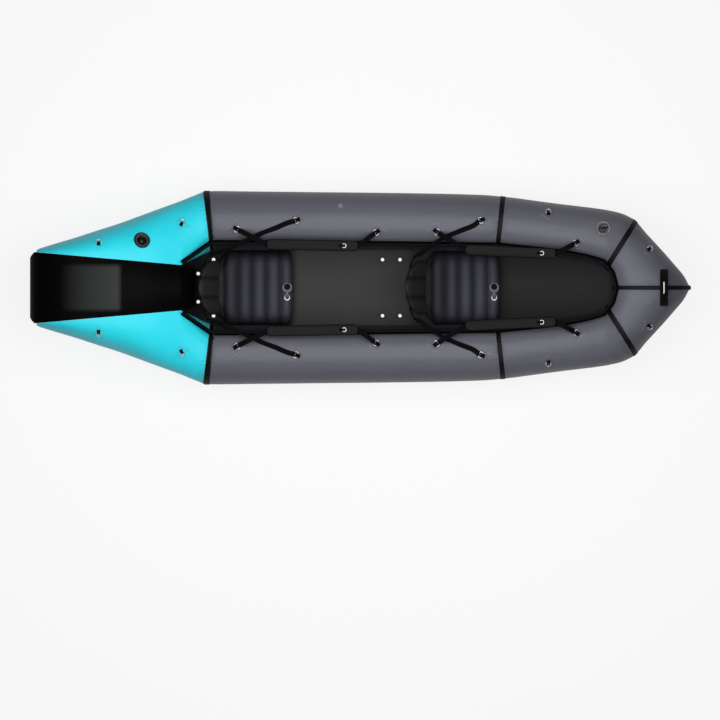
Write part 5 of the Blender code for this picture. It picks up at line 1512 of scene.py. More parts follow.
def backrest_form(pivot, shrink):
    up, ahead = backrest_directions()
    shape = 2 / 2.6
    radius = BACKREST_THICKNESS / 2
    rings = []
    for share in [*np.linspace(0, 0.9, 46), 0.93, 0.955, 0.975, 0.988, 0.996]:
        half, thick, foot = backrest_outline(share)
        middle = pivot + up * (share * (BACKREST_HEIGHT - radius) - (radius - shrink) * (1 - foot))
        ring = []
        for k in range(72):
            across, depth = (power(f(math.tau * k / 72), shape) for f in (math.cos, math.sin))
            quilt = 1.0 - sum(0.30 * math.exp(-(((across - channel) / 0.07) ** 2)) for channel in (-0.36, 0.36))
            bow = BACKREST_WRAP * (across * half / (BACKREST_WIDTH / 2)) ** 2
            place = Vector((0, across * max(half - shrink, 2 * MM), 0))
            ring.append(middle + place + ahead * (max(thick - shrink, 2 * MM) * depth * quilt + bow))
        rings.append(ring)
    return skin("backrest_form", rings, ("backrest",), sharp=0)


def make_backrests():
    pivot = backrest_pivot("rear")
    form = widened(swollen(backrest_form(pivot, 2.5 * MM), 5 * MM, 4.5 * MM), BACKREST_WIDTH / 2)
    weld = BACKREST_WIDTH * 0.18
    remapped(form, pivot, "backrest", lambda place: math.exp(-(((abs(place.y) - weld) / (12 * MM)) ** 2)))
    up, ahead = backrest_directions()
    surface = Surface()
    surface.add(form)
    edge = []
    for share in np.linspace(0.06, 0.985, 44):
        half, _, _ = backrest_outline(share)
        middle = pivot + up * share * (BACKREST_HEIGHT - BACKREST_THICKNESS / 2)
        wrap = BACKREST_WRAP * (half / (BACKREST_WIDTH / 2)) ** 2
        edge.append(middle + Vector((0, half, 0)) + ahead * wrap)
    rim = [surface.nearest(p)[0] for p in edge + [p * MIRROR for p in edge[::-1]]]
    piping = sweep("backrest_piping", [resampled(rim, 4 * MM)], 2.0 * MM, "binding", closed=False, sides=8)
    rows = (
        (form, "backrest_cushion", "black_fabric", "backrest", 0.85),
        (piping, "backrest_piping", "webbing", None, None),
    )
    dress_rear_and_front(rows, backrest_pivot("front") - pivot, "backrest")


# Straps


def headings(points):
    """The direction of a line at each of its points."""
    last = len(points) - 1
    return [(points[min(i + 1, last)] - points[max(i - 1, 0)]).normalized() for i in range(last + 1)]


def ribbon_frames(points, ups):
    found = []
    for point, along, up in zip(points, headings(points), ups):
        across = along.cross(up).normalized()
        found.append((point, across, across.cross(along).normalized()))
    return found


WEB_HALF = ((-1.0, 0.0), (-0.94, -0.85), (-0.8, -1.0), (0.0, -1.0), (0.8, -1.0), (0.94, -0.85))
WEB_SECTION = WEB_HALF + tuple((-u, -v) for u, v in WEB_HALF)


def ribbon(name, points, ups, width, thickness, material="webbing"):
    """Flat woven band along a line, with a cloth map across and along it."""
    rings = []
    for point, across, up in ribbon_frames(points, ups):
        rings.append([point + across * (width / 2 * u) + up * (thickness / 2 * v) for u, v in WEB_SECTION])
    obj = solid(name, sum(rings, []), capped_faces(len(rings), len(WEB_SECTION)), (material,))
    add_cloth_map(obj, [(width / 2 * u, run) for run in distances(points) for u, _ in WEB_SECTION])
    return obj


def resting_height(x, y, half):
    heights = []
    for i in (-1, 0, 1):
        for j in range(-8, 9):
            point, _ = COAMING_SURFACE.drop(x + i * half, y + j * half / 8)
            if point is not None and point.z > coaming_top(x) - COAMING_HEM_DEPTH:
                heights.append(point.z)
    return max(heights, default=coaming_top(x))


def folded_ribbon(name, points, across, width, thickness):
    """A band whose face turns with its line, about an axis across it."""
    return ribbon(name, points, [across.cross(along).normalized() for along in headings(points)], width, thickness)


def pad_place(name, share):
    (ax, ay), (bx, by) = PAD_END_SHARES[name]
    return (ax + (bx - ax) * share) * HALF_LENGTH, (ay + (by - ay) * share) * HALF_BEAM


def pad_line(name, lift, shares):
    places = [pad_place(name, share) for share in shares]
    return [Vector((x, y, resting_height(x, y, PAD_WIDTH / 2) + lift)) for x, y in places]


def strap_start(place):
    point, normal, forward, _ = place
    return point + forward * (LOOP_LENGTH - WEBBING_THICKNESS) + normal * WEBBING_LIFT


def cross_box(points, ups, width, start, length, lift):
    """Lines of a sewn box with a cross in it, on a ribbon's face, from one distance along it for a length."""
    run = distances(points)
    frames = ribbon_frames(points, ups)

    def at(u, distance):
        i = min(max(int(np.searchsorted(run, distance)), 1), len(frames) - 1)
        t = (distance - run[i - 1]) / (run[i] - run[i - 1])
        point, across, up = (a.lerp(b, t) for a, b in zip(frames[i - 1], frames[i]))
        return point + across * (width / 2 * u) + up * lift

    a, b, edge = start, start + length, 0.72
    corners = [(-edge, a), (edge, a), (edge, b), (-edge, b), (-edge, a)]
    lines = []
    for (u0, d0), (u1, d1) in [*zip(corners, corners[1:]), ((-edge, a), (edge, b)), ((edge, a), (-edge, b))]:
        lines.append([at(u0 + (u1 - u0) * t, d0 + (d1 - d0) * t) for t in np.linspace(0, 1, 8)])
    return lines


def thigh_webbing_line(name):
    shares = (0.0, 0.02, 0.06, 0.2, 0.4, 0.6, 0.8, 0.94, 0.98, 1.0)
    line = pad_line(name, 0.4 * MM + WEBBING_THICKNESS / 2, shares)
    back, front = (HULL_SURFACE.frame(*ANCHOR_PLACES[f"thigh_{name}_{end}"]) for end in ("back", "front"))
    ramps = []
    for anchor, end in ((back, line[0]), (front, line[-1])):
        start = strap_start(anchor)
        climb = start.lerp(end, 0.45) + UP * 21 * MM
        near = end.lerp(climb, 0.30)
        near.z = end.z + MM
        ramps.append([start, climb, near, end])
    rising = smooth_route([*ramps[0], line[1]], 6)[:-1]
    falling = smooth_route([line[-2], *ramps[1][::-1]], 6)[1:]
    middle = smooth_route(line[1:-1], 4)
    ups = [back[1].lerp(UP, min(2 * i / len(rising), 1)) for i in range(len(rising))]
    ups += [UP] * len(middle)
    ups += [UP.lerp(front[1], max(2 * (i + 1) / len(falling) - 1, 0)) for i in range(len(falling))]
    return rising + middle + falling, ups


PAD_TOP = ((1.0, 0.0), (0.985, 0.55), (0.93, 0.85), (0.8, 1.0), (0.55, 1.1), (0.28, 1.2), (0.0, 1.22))
PAD_UNDER = ((-0.985, -0.55), (-0.9, -0.9), (-0.55, -1.0), (0.0, -1.0), (0.55, -1.0), (0.9, -0.9), (0.985, -0.55))
PAD_SECTION = PAD_TOP + tuple((-s, face) for s, face in PAD_TOP[-2::-1]) + PAD_UNDER


def pad_frames(name, lift):
    """Point, width and share of the pad's length at each ring of its cover, and the direction across it."""
    coarse = np.linspace(0, 1, 15)
    heights = [p.z for p in pad_line(name, lift, coarse)]
    found = []
    for share in [0.0, 0.006, 0.015, 0.03, *np.linspace(0.05, 0.95, 64), 0.97, 0.985, 0.994, 1.0]:
        point = Vector((*pad_place(name, share), float(np.interp(share, coarse, heights))))
        end = min(share / 0.055, (1 - share) / 0.055, 1)
        blunt = 0.22 if name == "front" and share < 0.5 else 0.60
        found.append((point, PAD_WIDTH * (blunt + (1 - blunt) * math.sqrt(1 - (1 - end) ** 2)), share))
    (ax, ay), (bx, by) = pad_place(name, 0), pad_place(name, 1)
    return found, Vector((ay - by, bx - ax, 0)).normalized()


def pad_point(point, across, width, s, face):
    sag = PAD_DROOP * max(-s * width / PAD_WIDTH - 0.55, 0) / 0.45
    return point + across * (width / 2 * s) + UP * (face * PAD_THICKNESS / 2 - sag)


def make_pad(name, body, frames, across):
    """Quilted cover, bound rim and rows of stitches."""
    rings = []
    for point, width, share in frames:
        quilt = 1.0 - 0.22 * sum(math.exp(-(((share - seam) / 0.008) ** 2)) for seam in PAD_SEAM_SHARES)
        faces = [(s, face * (quilt if face > 0 else 1)) for s, face in PAD_SECTION]
        rings.append([pad_point(point, across, width, s, face) for s, face in faces])
    pad = skin(f"thigh_pad_{name}_cover", rings, ("pad",), sharp=0)
    for piece in dress_both(pad, f"thigh_pad_{name}_cover", body, (f"thigh_pad_{name}",)):
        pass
    rim = [pad_point(p, across, w, 1.0, 0.0) for p, w, _ in frames]
    rim += [pad_point(p, across, w, -1.0, 0.0) for p, w, _ in frames[::-1]]
    binding = sweep("binding", [rim], 2.6 * MM, "binding", sides=8, step=4 * MM)
    dress_both(binding, f"thigh_pad_{name}_binding", body)
    seams = []
    for s in (0.80, -0.80):
        seams.append([pad_point(p, across, w, s, 1.0) + UP * 0.2 * MM for p, w, _ in frames[3:-3]])
    for seam in PAD_SEAM_SHARES:
        p, w, _ = min(frames, key=lambda frame: abs(frame[2] - seam))
        seams.append([pad_point(p, across, w, s, 0.93 + 0.1 * (1 - s * s)) for s in np.linspace(-0.8, 0.8, 9)])
    dress_both(stitches("seams", seams, 4 * MM, 0.45 * MM), f"thigh_pad_{name}_stitches", body)


def make_pad_ring(name, body, frames, across):
    """Wire ring that lies on the pad, in a keeper of folded webbing."""
    point, width, _ = min(frames, key=lambda f: abs(f[2] - PAD_RING_SHARE))
    top = pad_point(point, across, width, 0, 1.22)
    slope = (frames[-8][0] - frames[8][0]).normalized()
    centre = top + UP * 2.6 * MM
    turns = [spoke(PAD_RING_RADIUS, k / 32) for k in range(32)]
    circle = [centre + slope * turn.x + across * turn.y for turn in turns]
    ring = sweep("ring", [circle], 1.9 * MM, "steel", sides=12, step=1.5 * MM)
    dress_both(ring, f"thigh_ring_{name}", body)
    keeper = [top - slope * 24 * MM + UP * 0.9 * MM, top - slope * 14 * MM + UP * 1.2 * MM]
    for angle in np.radians(np.linspace(-90, 90, 7)):
        back = 9.5 * MM - 3.4 * MM * math.cos(angle)
        keeper.append(centre - slope * back + UP * (3.0 * MM * math.sin(angle) + 0.6 * MM))
    keeper += [top - slope * 16 * MM + UP * 4.2 * MM, top - slope * 24 * MM + UP * 3.0 * MM]
    tab = folded_ribbon("tab", smooth_route(keeper, 3), -across, 14 * MM, 1.4 * MM)
    dress_both(tab, f"thigh_ring_tab_{name}", body)


def make_thigh_straps():
    for name in PAD_END_SHARES:
        body = f"thigh_strap_{name}"
        frames, across = pad_frames(name, 4 * 0.4 * MM + WEBBING_THICKNESS + PAD_THICKNESS / 2)
        make_pad(name, body, frames, across)
        points, ups = thigh_webbing_line(name)
        webbing = ribbon(f"thigh_webbing_{name}_band", points, ups, WEBBING_WIDTH, WEBBING_THICKNESS)
        dress_both(webbing, f"thigh_webbing_{name}_band", body, (f"thigh_webbing_{name}",))
        boxes = cross_box(points, ups, WEBBING_WIDTH, 14 * MM, 30 * MM, 1.2 * MM)
        boxes += cross_box(points[::-1], [-u for u in ups[::-1]], WEBBING_WIDTH, 14 * MM, 30 * MM, -1.2 * MM)
        dress_both(stitches("boxes", boxes, 3 * MM, 0.45 * MM), f"thigh_webbing_{name}_stitches", body)
        make_pad_ring(name, body, frames, across)


def make_backrest_straps():
    up, ahead = backrest_directions()
    for name, shares in BACKREST_STRAP_SHARES.items():
        place = HULL_SURFACE.frame(*ANCHOR_PLACES[f"backrest_{name}"])
        middle = backrest_pivot(name) + up * 0.5 * (BACKREST_HEIGHT - BACKREST_THICKNESS / 2)
        route = [(strap_start(place) - place[1] * WEBBING_THICKNESS, place[1])]
        for sx, sy, above_hem, face in shares:
            x, y = sx * HALF_LENGTH, sy * HALF_BEAM
            if above_hem is None:
                point, normal = HULL_SURFACE.drop(x, y)
                route.append((point + normal * STRAP_SKIM, normal))
            else:
                route.append((Vector((x, y, coaming_top(x) + above_hem * STRAP_OVER_HEM)), Vector(face)))
        for wide, deep in STRAP_ROUND_SHARES:
            point = middle + Vector((0, BACKREST_WIDTH / 2 * wide, 0)) + ahead * BACKREST_THICKNESS * deep
            route.append((point, -ahead))
        left = smooth_route([p for p, _ in route], 8)
        faces = [f.normalized() for f in smooth_route([f.normalized() for _, f in route], 8)]
        points, ups = (half + [p * MIRROR for p in half[-2::-1]] for half in (left, faces))
        obj = ribbon(f"backrest_strap_{name}_band", points, ups, WEBBING_WIDTH, WEBBING_THICKNESS)
        dress(obj, replaces=(f"backrest_strap_{name}",))
        boxes = cross_box(left, faces, WEBBING_WIDTH, 16 * MM, 30 * MM, 1.2 * MM)
        boxes += [[p * MIRROR for p in line] for line in boxes]
        dress(stitches(f"backrest_strap_{name}_stitches", boxes, 3 * MM, 0.45 * MM))


# Anchors, patches and rings


def rounded_corners(centres, radius, steps):
    """A closed line round four corners, each given by its centre, from the first quarter turn on."""
    line = []
    for quarter, centre in enumerate(centres):
        for share in np.linspace(quarter, quarter + 1, steps):
            line.append(Vector((*centre, 0)) + spoke(radius, share / 4))
    return line


def hull_patch(name, place, half, material, turn=45):
    """A rounded square of cloth laid on the hull, thin at its edge."""
    matrix = local_to_world(place)
    c = half - PATCH_CORNER
    spin = Matrix.Rotation(math.radians(turn), 3, "Z")
    outline = [spin @ p for p in rounded_corners(((c, c), (-c, c), (-c, -c), (c, -c)), PATCH_CORNER, 5)]
    steps = ((1.0, -0.6 * MM), (1.0, PATCH_LIFT * 0.6), *((scale, PATCH_LIFT) for scale in PATCH_RING_SHARES))
    points, flat = [], []
    for scale, height in steps:
        for p in outline:
            point, normal = HULL_SURFACE.nearest(matrix @ (p * scale))
            points.append(point + normal * height)
            flat.append((p.x * scale, p.y * scale))
    faces = capped_faces(len(steps), len(outline))
    slots = [1 if i // len(outline) < 2 else 0 for i in range(len(faces))]
    obj = solid(name, points, faces, (material, "glue"), slots, sharp=50)
    add_cloth_map(obj, flat)
    return obj


def folded_tab(name, place, height, bore, length):
    """Webbing folded over a bar, with both its tails flat on the patch."""
    matrix = local_to_world(place)
    radius = bore + TAB_THICKNESS / 2
    path = [Vector((-15 * MM, 0, 1.9 * MM)), Vector((-8 * MM, 0, 2.1 * MM))]
    for angle in np.radians(np.linspace(200, -20, 12)):
        path.append(Vector((radius * math.cos(angle), 0, height + radius * math.sin(angle))))
    path.append(Vector((8 * MM, 0, 2.1 * MM)))
    return folded_ribbon(name, [matrix @ p for p in path], place[3], length, TAB_THICKNESS)


def d_ring_line(matrix):
    half = D_RING_WIDTH / 2
    path = [Vector((0, y, 0)) for y in np.linspace(-half + 1.5 * MM, half - 1.5 * MM, 9)]
    for k in range(1, 20):
        angle = math.pi / 2 - math.pi * k / 20
        path.append(Vector((D_RING_REACH * math.cos(angle) ** 0.8, half * math.sin(angle), 0)))
    return [matrix @ p for p in path]


def hinge_place(place, pivot, axis, height):
    """The place turned and moved so that the hinge's axis runs across it at the given height."""
    _, normal, forward, across = place
    axis = axis * math.copysign(1, axis.dot(across))
    normal = (normal - axis * normal.dot(axis)).normalized()
    ahead = axis.cross(normal)
    return pivot - normal * height, normal, ahead * math.copysign(1, ahead.dot(forward)), axis


def make_rings():
    for name, shares in RING_PLACES.items():
        place = HULL_SURFACE.frame(shares)
        joint = joint_of(f"d_ring_{name}_left")
        pivot = Vector(joint["pos_m"])
        material = "turquoise_patch" if name in ("stern", "shoulder") else "patch"
        patch = hull_patch(f"ring_patch_{name}", place, 28 * MM, material)
        height = (pivot - place[0]).dot(place[1])
        place = hinge_place(place, pivot, Vector(joint["axis"]), height)
        tab = folded_tab("tab", place, height, D_RING_WIRE + 0.4 * MM, 17 * MM)
        patch = joined([patch, tab], "patch")
        dress_both(patch, f"ring_patch_{name}", replaces=(f"d_ring_patch_{name}",))
        matrix = local_to_world((pivot, *place[1:])) @ Matrix.Rotation(D_RING_DROOP, 4, "Y")
        ring = sweep("ring", [d_ring_line(matrix)], D_RING_WIRE, "steel", sides=14, step=1.5 * MM)
        dress_both(ring, f"tie_ring_{name}", f"d_ring_{name}", (f"d_ring_{name}",))


def make_anchors():
    w, n, c = LOOP_WIDTH / 2 - LOOP_CORNER, LOOP_LENGTH - LOOP_CORNER, LOOP_CORNER
    for key, (shares, heading) in ANCHOR_PLACES.items():
        place = HULL_SURFACE.frame(shares, heading)
        patch = hull_patch("patch", place, 29 * MM, "patch", turn=45 - heading)
        tab = folded_tab("tab", place, BAR_HEIGHT, LOOP_WIRE + 0.2 * MM, 20 * MM)
        matrix = local_to_world(place, BAR_HEIGHT)
        line = [matrix @ p for p in rounded_corners(((n, w), (c, w), (c, -w), (n, -w)), LOOP_CORNER, 6)]
        loop = sweep("loop", [line], LOOP_WIRE, "steel", sides=12, step=1.5 * MM)
        nodes = (f"anchor_{key}",) if key.startswith("thigh") else ()
        dress_both(joined([patch, tab, loop], "anchor"), f"strap_anchor_{key}", replaces=nodes)


# Valves


def mesh_of(shape, name):
    """A bmesh turned into a mesh."""
    mesh = bpy.data.meshes.new(name)
    shape.to_mesh(mesh)
    shape.free()
    return mesh


def lathed(name, profile, material, segments=64):
    """A turned body about +Z from (radius, height) pairs in millimetres, closed on the axis or on itself."""
    points = [spoke(max(r * MM, 1e-6), k / segments) + UP * (h * MM) for r, h in profile for k in range(segments)]
    faces = grid_faces(len(profile), segments, wrap_rows=profile[0][0] != 0)
    obj = solid(name, points, faces, (material,), sharp=35)
    face_out(obj.data, 5e-6)
    return obj


def moved(matrix, *pieces):
    for piece in pieces:
        piece.data.transform(matrix)
    return list(pieces)


def valve_radii(name):
    """Radius in millimetres of the flange, of the bore through it and of the cup inside its collar."""
    edge = MAIN_VALVES[name][1]
    return edge, edge - 7, edge - 13


def drill_valve(obj, name):
    """Sinks the pocket that a valve sits in."""
    edge, bore, _ = valve_radii(name)
    wide, deep = edge + 0.4, bore - 0.6
    profile = ((0, -24), (deep, -24), (deep, -9.4), (wide, -9.4), (wide, 12), (0, 12))
    matrix = local_to_world(HULL_SURFACE.frame(MAIN_VALVES[name][0]))
    cut(obj, *moved(matrix, lathed("drill", profile, "plastic", 72)))


def valve_arm(cup, turn):
    """One spoke of the seat that the valve's button rests on."""
    shape = bmesh.new()
    bmesh.ops.create_cube(shape, size=1.0)
    bmesh.ops.scale(shape, vec=(cup * 0.68 * MM, 5.5 * MM, 3.0 * MM), verts=shape.verts)
    bmesh.ops.bevel(shape, geom=list(shape.edges), offset=0.9 * MM, segments=2, affect="EDGES")
    bmesh.ops.translate(shape, vec=(cup * 0.62 * MM, 0, -15.9 * MM), verts=shape.verts)
    return moved(Matrix.Rotation(math.radians(turn), 4, "Z"), link("arm", mesh_of(shape, "arm"), ("plastic",)))[0]


def make_main_valves():
    for name in MAIN_VALVES:
        matrix = local_to_world(HULL_SURFACE.frame(MAIN_VALVES[name][0]))
        edge, bore, cup = valve_radii(name)
        profiles = {
            "flange": (
                (bore - 1, -9), (edge, -9), (edge, 1.2), (edge - 0.6, 2.2), (edge - 2, 2.9), (bore + 2, 3.0),
                (bore + 0.8, 2.4), (bore, 1.4), (bore - 1, 1.2),
            ),
            "collar": (
                (cup - 3, -21), (bore - 1.2, -21), (bore - 1.2, 1.5), (bore - 2, 2.6), (cup + 1.5, 2.8),
                (cup + 0.4, 2.0), (cup, -2), (cup - 2, -18.6),
            ),
            "floor": ((0, -23), (cup - 2.5, -23), (cup - 2.5, -20.6), (7, -20.6), (6, -20.2), (0, -20.2)),
        }
        pieces = [lathed(*part, look) for part, look in zip(profiles.items(), MAIN_VALVE_LOOKS[name])]
        lift, size = Matrix.Translation((0, 0, 2.4 * MM)), (2.4 * MM, 1.3 * MM, 1.0 * MM)
        pieces.append(ribs_round("grip", lift, 22, (bore - 4) * MM, size, "grey_plastic"))
        pieces += [valve_arm(cup, turn) for turn in (30, 150, 270)]
        dress(joined(moved(matrix, *pieces), f"{name}_assembly"), replaces=(f"{name}_body",))
        button, = moved(matrix, lathed(f"{name}_plunger", PLUNGER, "plastic", 48))
        dress(button, f"{name}_button", (f"{name}_button",))

    valve = lathed("valve", TOP_UP_PROFILE, "silver_plastic", 40)
    size = (0.7 * MM, 0.9 * MM, 2.4 * MM)
    grip = ribs_round("grip", Matrix.Translation((0, 0, 6 * MM)), 14, 8 * MM, size, "grey_plastic")
    pieces = moved(local_to_world(HULL_SURFACE.frame(TOP_UP_PLACE)), valve, grip)
    dress(joined(pieces, "top_up_valve_cap"), replaces=("top_up_valve",))


def offset_collar(outer, inner, shift, low, high, notches=18):
    """A flat ring whose hole lies off its centre, with notches cut across its broad side."""
    rings = []
    count = notches * 6
    for k in range(count):
        edge = spoke(outer, k / count)
        hole = spoke(inner, k / count) + Vector((0, shift, 0))
        notched = k % 6 > 3 and edge.y < 0
        top = high - (1.1 * MM if notched else 0)
        rings.append([edge + UP * low, edge + UP * top, hole + UP * top, hole + UP * low])
    return skin("collar", rings, ("grey_plastic",), wrap_rows=True, sharp=30)


def make_seat_valves():
    ring, hinge = SEAT_VALVE_RADIUS, -24.6 * MM
    rim = (
        (ring - 3.4, -14), (ring, -14), (ring, 0.1), (ring - 0.6, 0.9), (ring - 2.2, 1.1), (ring - 3.0, 0.5),
    )
    bore = ((0, -13.6), (ring - 2.6, -13.6), (ring - 2.6, -2.6), (13, -3.0), (12, -4), (11, -12), (0, -12))
    lid = ((0, 0.5), (13.4, 0.5), (14, 1.1), (14, 2.2), (13.2, 2.8), (0, 2.8))
    body = ((0, 1.4), (8.8, 1.4), (8.6, 6.0), (8.0, 6.7), (6.0, 6.7), (5.6, 5.6), (0, 5.6))
    washer = ((0, 1.4), (10.6, 1.4), (10.6, 3.0), (0, 3.0))
    for name in SEAT_FRONT_SHARES:
        matrix = seat_valve_matrix(name)
        collar = offset_collar((ring - 2.8) * MM, 15.6 * MM, 4.6 * MM, -4 * MM, 0.9 * MM)
        pieces = moved(matrix, lathed("rim", rim, "grey_plastic"), lathed("bore", bore, "hollow"), collar)
        dress(joined(pieces, f"seat_valve_{name}_ring"), replaces=(f"seat_valve_{name}",))
        centre = matrix @ Matrix.Translation((0, 2 * hinge, 0))
        pieces = moved(centre, lathed("lid", lid, "pale_plastic"), lathed("plug_body", body, "plastic"))
        towards_hinge = Matrix.Translation((0, 3.2 * MM, 0))
        pieces += moved(centre @ towards_hinge, lathed("washer", washer, "plastic"))
        path = [matrix @ Vector((0, hinge - away * MM, 1.6 * MM)) for away in (0.8, 4, 9, 13)]
        pieces.append(ribbon("strap", path, [UP] * 4, 10.5 * MM, 1.8 * MM, "grey_plastic"))
        plug = f"seat_plug_{name}"
        dress(joined(pieces, plug + "_lid"), plug, (plug,))


def make_handle():
    x = HANDLE_PLACE_SHARE * HALF_LENGTH
    half = HANDLE_SPAN / 2
    crest, foot = (HULL_SURFACE.drop(x, y)[0].z for y in (2 * SEAM_GAP, half))
    low = foot - 6 * MM
    high = crest + HANDLE_RISE - 2.2 * MM
    route = []
    for angle in np.linspace(-math.pi / 2, math.pi / 2, 60):
        share = power(math.sin(angle), 0.8)
        route.append(Vector((x, share * half, low + (high - low) * max(1 - abs(share) ** 3.2, 0) ** 0.5)))
    ups = [Vector((0, 0.6 * p.y / half, 1)) for p in route]
    dress(ribbon("bow_handle_band", route, ups, HANDLE_WIDTH, 4 * MM), replaces=("bow_handle",))
    frames = ribbon_frames(route, ups)

    def on_face(frame, side):
        point, across, up = frame
        return point + across * (HANDLE_WIDTH / 2 * side) + up * 2.2 * MM

    seams = [[on_face(frame, side) for frame in frames[4:-4]] for side in (-0.86, 0.86)]
    for share in (0.62, -0.62, 0.78, -0.78):
        nearest = min(frames, key=lambda frame: abs(frame[0].y - share * half))
        seams.append([on_face(nearest, side) for side in np.linspace(-0.86, 0.86, 9)])
    dress(stitches("bow_handle_stitches", seams, 4 * MM, 0.5 * MM))
    label = [(p + u * 2.3 * MM, u) for p, _, u in frames if abs(p.y) < 29 * MM]
    dress(ribbon("bow_handle_label", *zip(*label), 5 * MM, 0.7 * MM, "label"))


# Stage


def emptied_tree(owner):
    owner.use_nodes = True
    owner.node_tree.nodes.clear()
    return owner.node_tree


def make_stage():
    look = settings()
    scene = bpy.context.scene
    scene.view_settings.view_transform = "Standard"

    material = bpy.data.materials.new("studio_paper")
    tree = emptied_tree(material)
    paper = new_node(tree, "ShaderNodeBsdfDiffuse", {"Color": PAPER_COLOUR})
    glow = new_node(tree, "ShaderNodeEmission", {"Strength": 1.0})
    seen = new_node(tree, "ShaderNodeLightPath", output="Is Camera Ray")
    share = new_node(tree, "ShaderNodeMath", {0: seen, 1: look.floor_glow}, operation="MULTIPLY")
    mixed = new_node(tree, "ShaderNodeMixShader", {0: share, 1: paper, 2: glow})
    new_node(tree, "ShaderNodeOutputMaterial", {0: mixed})
    mesh = bpy.data.meshes.new("studio_floor")
    corners = [(x * STUDIO_HALF, y * STUDIO_HALF, -0.5 * MM) for x, y in ((-1, -1), (1, -1), (1, 1), (-1, 1))]
    mesh.from_pydata(corners, [], [(0, 1, 2, 3)])
    mesh.materials.append(material)
    placed("studio_floor", mesh)

    scene.world = bpy.data.worlds.new("studio_air")
    tree = emptied_tree(scene.world)
    air = new_node(tree, "ShaderNodeBackground", {"Color": AIR_COLOUR, "Strength": look.air_light})
    backdrop = new_node(tree, "ShaderNodeBackground", {"Color": (1, 1, 1, 1), "Strength": 1.0})
    rays = tree.nodes.new("ShaderNodeLightPath").outputs
    inputs = {0: rays["Is Camera Ray"], 1: rays["Is Transmission Ray"]}
    either = new_node(tree, "ShaderNodeMath", inputs, operation="MAXIMUM")
    mixed = new_node(tree, "ShaderNodeMixShader", {0: either, 1: air, 2: backdrop})
    new_node(tree, "ShaderNodeOutputWorld", {0: mixed})

    for name, place, turn, size, power_share in SOFTBOXES:
        lamp = bpy.data.lights.new(name, "AREA")
        lamp.shape = "RECTANGLE"
        lamp.size, lamp.size_y = size
        lamp.energy = look.lamp_power * power_share
        obj = placed(name, lamp)
        obj.location = place
        obj.rotation_euler = (math.radians(turn), 0, 0)

    camera = bpy.data.cameras.new("overhead_camera")
    camera.type = "ORTHO"
    camera.ortho_scale = CAMERA_SPAN
    camera.clip_end = 60
    scene.camera = placed("overhead_camera", camera)
    scene.camera.location = CAMERA_PLACE


# Add-on


class PackraftSettings(bpy.types.PropertyGroup):
    """Sizes, colours and light that a user may change before building."""

    hull_colour: FloatVectorProperty(
        name="Hull", description="Grey chambers", subtype="COLOR", default=srgb(88, 88, 97)
    )
    stern_colour: FloatVectorProperty(
        name="Stern", description="Turquoise chambers", subtype="COLOR", default=srgb(40, 206, 222)
    )
    deck_colour: FloatVectorProperty(
        name="Stern deck", description="Black deck between the stern chambers", subtype="COLOR",
        default=srgb(3, 3, 3),
    )
    floor_colour: FloatVectorProperty(
        name="Floor", description="Floor sheet", subtype="COLOR", default=srgb(54, 54, 53)
    )
    seat_colour: FloatVectorProperty(
        name="Seats", description="Seat cushions", subtype="COLOR", default=srgb(56, 56, 66)
    )
    pad_colour: FloatVectorProperty(
        name="Pads", description="Thigh pads", subtype="COLOR", default=srgb(23, 23, 24)
    )
    tape_width: FloatProperty(
        name="Tape width", description="Width of the joint tapes", subtype="DISTANCE", default=27 * MM
    )
    skin_step: FloatProperty(
        name="Skin step", description="Distance between the rings of the chambers' skins", subtype="DISTANCE",
        default=12 * MM,
    )
    pucker_depth: FloatProperty(
        name="Pucker depth", description="How far the seams draw the cloth in", subtype="DISTANCE",
        default=2.2 * MM,
    )
    lamp_power: FloatProperty(name="Lamp power", description="Power of the overhead softbox in watts", default=132.0)
    air_light: FloatProperty(name="Air light", description="Strength of the light from all round", default=0.12)
    floor_glow: FloatProperty(
        name="Floor glow", description="Share of pure white in the floor as the camera sees it", default=0.86
    )


class PackraftPiece:
    """What every operator shares: it makes its pieces and returns that it has finished."""

    def execute(self, context):
        self.make()
        return {"FINISHED"}


class PACKRAFT_OT_materials(PackraftPiece, bpy.types.Operator):
    """Makes every fabric, film, webbing, plastic and metal"""

    bl_idname = "packraft.materials"
    bl_label = "Materials"
    make = staticmethod(make_materials)


class PACKRAFT_OT_chambers(PackraftPiece, bpy.types.Operator):
    """Side, fore, bow and stern chambers"""

    bl_idname = "packraft.chambers"
    bl_label = "Chambers"
    make = staticmethod(make_chambers)


class PACKRAFT_OT_deck(PackraftPiece, bpy.types.Operator):
    """Black deck between the stern chambers"""

    bl_idname = "packraft.deck"
    bl_label = "Stern deck"
    make = staticmethod(make_deck)


class PACKRAFT_OT_tapes(PackraftPiece, bpy.types.Operator):
    """Tapes over the joints and the bow's centre seam"""

    bl_idname = "packraft.tapes"
    bl_label = "Seam tapes"
    make = staticmethod(make_tapes)


class PACKRAFT_OT_coaming(PackraftPiece, bpy.types.Operator):
    """Fabric wall round the cockpit, with its rolled hem"""

    bl_idname = "packraft.coaming"
    bl_label = "Coaming"
    make = staticmethod(make_coaming)


class PACKRAFT_OT_floor(PackraftPiece, bpy.types.Operator):
    """Floor sheet with its drain holes"""

    bl_idname = "packraft.floor"
    bl_label = "Floor sheet"
    make = staticmethod(make_floor)


class PACKRAFT_OT_seats(PackraftPiece, bpy.types.Operator):
    """Ribbed air seats"""

    bl_idname = "packraft.seats"
    bl_label = "Seats"
    make = staticmethod(make_seats)


class PACKRAFT_OT_backrests(PackraftPiece, bpy.types.Operator):
    """Air backrests with their piping"""

    bl_idname = "packraft.backrests"
    bl_label = "Backrests"
    make = staticmethod(make_backrests)


class PACKRAFT_OT_backrest_straps(PackraftPiece, bpy.types.Operator):
    """Webbing that holds the backrests"""

    bl_idname = "packraft.backrest_straps"
    bl_label = "Backrest straps"
    make = staticmethod(make_backrest_straps)


